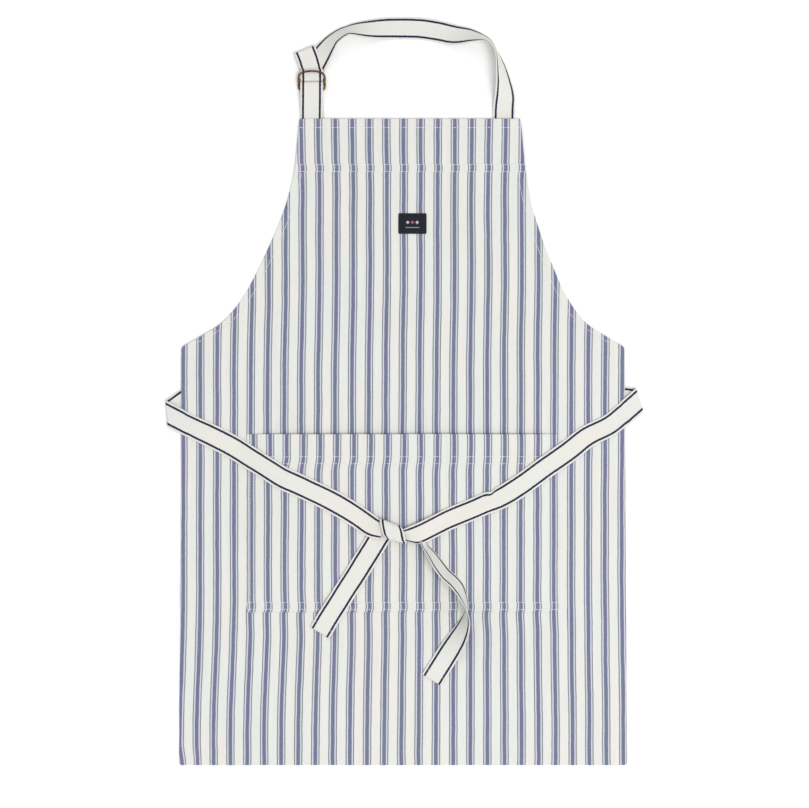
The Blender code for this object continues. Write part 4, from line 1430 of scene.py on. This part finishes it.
def profileRows(profile, shifts):
    # rows across X of a tape whose middle line is given in Y and Z
    middle, normals = [], []
    last = len(profile) - 1
    for i, (y, z) in enumerate(profile):
        y0, z0 = profile[max(i - 1, 0)]
        y1, z1 = profile[min(i + 1, last)]
        length = math.hypot(y1 - y0, z1 - z0)
        normal = Vector((0.0, -(z1 - z0) / length, (y1 - y0) / length))
        middle.append(rowOfTape(Vector((rings["x"] + shifts[i], y, z)), Vector((1, 0, 0)), neck["tapeWidth"]))
        normals.append([normal] * len(middle[-1]))
    return middle, normals


def makeTab():
    thick, clear = tapeCloth["thick"], bodyCut["clear"]
    low, high = thick / 2, thick * 1.5 + clear
    foldY, foldZ, radius = neck["foldY"], neck["foldZ"], neck["foldRadius"]
    profile, shifts = [], []
    for y in spread(neck["sewnY"], foldY, 0.004)[:-1]:
        profile.append((y, low))
        shifts.append(neck["tabSkew"] * (1.0 - ease(neck["sewnY"], foldY - 0.004, y)))
    turn = halfTurn(foldY, foldZ, radius, -math.pi / 2, 16)
    profile += turn
    shifts += [0.0] * len(turn)
    top = foldZ + radius
    for y in spread(neck["sewnY"], foldY, 0.004)[:-1][::-1]:
        share = min(1.0, (foldY - y) / (foldY - bodyCut["bibY"]))
        profile.append((y, high + (top - high) * (1 - ease(0.0, 1.0, share))))
        shifts.append(-0.0006 * ease(0.0, 1.0, share))
    rows, out = profileRows(profile, shifts)
    piece, length = tapeSolid("ringTab", rows, out)
    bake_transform(piece)
    layTape(piece, None, ["ring_tab", "ring_tab_sewn_end"])
    print("ring tab, cm:", round(length * 100))


def makeStrap():
    # from the free end back round the front ring, round the neck and down behind the bib
    low, high, width = neck["strapLow"], neck["strapHigh"], neck["tapeWidth"]
    radius = (high - low) / 2
    profile = [(y, high) for y in spread(neck["wrapY"] + 0.002, neck["freeStart"], 0.003)[::-1]]
    profile += halfTurn(neck["wrapY"], low + radius, radius, math.pi / 2, 14)
    profile += [(neck["wrapY"] + 0.004, low), (neck["wrapEnd"], low)]
    middle, normals = profileRows(profile, [0.0] * len(profile))
    normals = [[-n for n in row] for row in normals]

    def floorRest(x, y):
        return low - tapeCloth["thick"] / 2

    down = Vector((0.0, -1.0, 0.0))
    centres = flatThrough(neck["route"], tapeRun["step"])
    ways = [down if p.y < bodyCut["bibY"] + 0.004 else way for p, way in zip(centres, headings(centres))]
    rows, out = standingRows(centres, ways, neck["tilts"], [width] * len(centres), floorRest)
    endX = neck["route"][-1][0]
    sewn = [Vector((endX, y, 0.0)) for y in spread(neck["sewnY"], bodyCut["bibY"] - 0.003, 0.004)[::-1]]
    sewnRows, sewnOut = standingRows(sewn, [down] * len(sewn), [0, 0], [width] * len(sewn), floorRest)
    middle += rows + sewnRows
    normals += out + sewnOut
    piece, length = tapeSolid("neckStrap", middle, normals, neck["weaveStart"])
    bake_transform(piece)
    layTape(piece, None, ["neck_strap", "neck_strap_sewn_end"])

    centres = flatThrough(neck["freeEnd"], 0.003)
    rows, out = [], []
    for i, (centre, heading) in enumerate(zip(centres, headings(centres))):
        cut = sideOf(heading) if i else Vector((-1, 0, 0))
        share = i / (len(centres) - 1)
        lift = high + neck["freeLift"] * ease(0.3, 1.0, share)
        row = []
        for place in acrossShares():
            fray = neck["fray"] * noise.noise(Vector((place * 30, 1.0, 7.0))) * ease(0.8, 1.0, share)
            rise = lift + neck["curl"] * math.sin(place * 9.0) * ease(0.2, 1.0, share)
            row.append(centre + cut * (-width * place) + heading * fray + Vector((0, 0, rise)))
        rows.append(row)
        out.append([Vector((0, 0, 1))] * len(row))
    piece, freeLength = tapeSolid("strapFreeEnd", rows, out, neck["freeWeaveStart"])
    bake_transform(piece)
    layTape(piece, None, ["neck_strap_free_end"])
    print("neck strap, cm with free end:", round(length * 100), round(freeLength * 100, 1))


# Stitches: Geometry Nodes lay one small stitch after another along each row

def buildStitchTree():
    tree = bpy.data.node_groups.new("sewnRow", "GeometryNodeTree")
    face = tree.interface
    face.new_socket("Rows", in_out="INPUT", socket_type="NodeSocketGeometry")
    for label, value in (("Pitch", sewing["pitch"]), ("Length", sewing["stitch"]), ("Width", sewing["width"]),
                         ("Height", sewing["height"]), ("Unevenness", 0.12)):
        socket = face.new_socket(label, in_out="INPUT", socket_type="NodeSocketFloat")
        socket.default_value = value
    face.new_socket("Seed", in_out="INPUT", socket_type="NodeSocketInt").default_value = 3
    face.new_socket("Thread", in_out="INPUT", socket_type="NodeSocketMaterial")
    face.new_socket("Stitches", in_out="OUTPUT", socket_type="NodeSocketGeometry")
    w = Wiring(tree)
    given = w.add("NodeGroupInput").outputs
    curve = w.add("GeometryNodeMeshToCurve", {"Mesh": given["Rows"]}).outputs["Curve"]
    points = w.add("GeometryNodeResampleCurve", {"Curve": curve}, mode="LENGTH")
    w.feed(points.inputs["Length"], given["Pitch"])
    shape = w.add("GeometryNodeMeshUVSphere", {"Segments": 6, "Rings": 4, "Radius": 0.5}).outputs["Mesh"]
    quarter = (0.0, math.pi / 2, 0.0)
    shape = w.add("GeometryNodeTransform", {"Geometry": shape, "Rotation": quarter}).outputs[0]
    tangent = w.add("GeometryNodeInputTangent").outputs["Tangent"]
    turn = w.add("FunctionNodeAlignRotationToVector", {"Vector": tangent}, axis="X").outputs["Rotation"]
    chance = w.add("FunctionNodeRandomValue", {
        2: w.minus(1.0, given["Unevenness"]), 3: w.plus(1.0, given["Unevenness"]), "Seed": given["Seed"],
    }, data_type="FLOAT")
    length = w.times(given["Length"], chance.outputs[1])
    size = w.add("ShaderNodeCombineXYZ", {"X": length, "Y": given["Width"], "Z": given["Height"]}).outputs[0]
    placed = w.add("GeometryNodeInstanceOnPoints", {
        "Points": points.outputs["Curve"], "Instance": shape, "Rotation": turn, "Scale": size,
    }).outputs["Instances"]
    real = w.add("GeometryNodeRealizeInstances", {"Geometry": placed}).outputs["Geometry"]
    smooth = w.add("GeometryNodeSetShadeSmooth", {"Geometry": real}).outputs["Geometry"]
    dressed = w.add("GeometryNodeSetMaterial", {"Geometry": smooth, "Material": given["Thread"]})
    final = w.add("NodeGroupOutput")
    w.feed(final.inputs["Stitches"], dressed.outputs["Geometry"])
    return tree


stitchTree = buildStitchTree()


def sewRows(name, rows, settings, thread, body, nodes):
    verts, edges = [], []
    for row in rows:
        first = len(verts)
        verts += [tuple(p) for p in row]
        edges += [(first + i, first + i + 1) for i in range(len(row) - 1)]
    mesh = bpy.data.meshes.new(name + "Rows")
    mesh.from_pydata(verts, edges, [])
    holder = bpy.data.objects.new(name + "Rows", mesh)
    bpy.context.collection.objects.link(holder)
    modifier = holder.modifiers.new("sewnRow", "NODES")
    modifier.node_group = stitchTree
    sockets = {item.name: item.identifier for item in stitchTree.interface.items_tree}
    for label, value in settings.items():
        modifier[sockets[label]] = value
    modifier[sockets["Thread"]] = looks[thread]
    stitches = bpy.data.meshes.new_from_object(holder.evaluated_get(bpy.context.evaluated_depsgraph_get()))
    holder.modifiers.remove(modifier)
    bpy.data.objects.remove(holder)
    stitches.name = name
    piece = newPiece(name, stitches, None)
    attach(piece, body)
    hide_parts(*nodes)
    print(name, len(stitches.polygons), "faces")


def rowOn(skin, start, end, step=0.003):
    start, end = Vector((*start, 0.0)), Vector((*end, 0.0))
    count = max(2, round((end - start).length / step))
    line = [start.lerp(end, n / count) for n in range(count + 1)]
    return [Vector((p.x, p.y, skin(p.x, p.y) + sewing["lift"])) for p in line]


def sewEnd(name, rows, normals, body, node):
    # a short row across the hem at the end of a tail
    core = len(rows[0]) // 2
    for row, out in zip(reversed(rows), reversed(normals)):
        if (row[core] - rows[-1][core]).length >= tails["endHem"]:
            line = [p + n * (tapeCloth["thick"] / 2 + sewing["lift"]) for p, n in zip(row, out)][1:-1]
            break
    sewRows(name, [line], sewing["tailRow"], "whiteThread", body, [node])


def sewBody():
    rows, gap = [], sewing["rowEnd"]
    for y in (sewing["bibHem"],) + sewing["facing"]:
        half = halfWidth(y) - gap
        rows.append(rowOn(bodySkin, (centreX(y) - half, y), (centreX(y) + half, y)))
    for side in (-1, 1):
        line = []
        for point in armholeCurve[3:]:
            if point.y > bodyCut["facingY"]:
                break
            x = centreX(point.y) + side * (point.x - sewing["armholeIn"])
            line.append(Vector((x, point.y, bodySkin(x, point.y) + sewing["lift"])))
        rows.append(line)
    left, right = pocketCut["x"] - pocketCut["half"] + gap, pocketCut["x"] + pocketCut["half"] - gap
    for y in sewing["pocketHem"] + sewing["pocketFoot"]:
        rows.append(rowOn(pocketSkin, (left, y), (right, y)))
    for x in (left - gap + sewing["pocketSide"], right + gap - sewing["pocketSide"]):
        rows.append(rowOn(pocketSkin, (x, pocketCut["mouth"] - gap), (x, pocketCut["foot"] + 0.001)))
    sewRows("apronStitching", rows, sewing["bodyRows"], "whiteThread", "body", [
        "bib_hem_stitching", "facing_stitching_upper", "facing_stitching_lower",
        "armhole_stitching_left", "armhole_stitching_right",
        "pocket_hem_stitching_upper", "pocket_hem_stitching_lower",
        "pocket_foot_stitching_upper", "pocket_foot_stitching_lower",
        "pocket_side_stitching_left", "pocket_side_stitching_right"])


def sewLabel():
    x, y = label["x"], label["y"]
    halfX, halfY = label["width"] / 2 - label["threadIn"], label["height"] / 2 - label["threadIn"]
    corners = [(x - halfX, y - halfY), (x + halfX, y - halfY), (x + halfX, y + halfY), (x - halfX, y + halfY)]

    def skin(x, y):
        return bodySkin(x, y) + bodyCut["clear"] + label["thick"] - 0.0002

    rows = [rowOn(skin, start, end, 0.0015) for start, end in zip(corners, corners[1:] + corners[:1])]
    sewRows("labelStitching", rows, sewing["labelRow"], "navyThread", "body", ["label_stitching"])


makeTies()
bandLength = makeKnotBand()
makeTails()
print("ties and knot laid, band", round(bandLength * 100, 1), "cm")
makeTab()
makeStrap()
makeRing("ringBack", rings["back"], "halter", "ring_back")
makeRing("ringFront", rings["front"], "front_ring", "ring_front")
sewBody()
sewLabel()
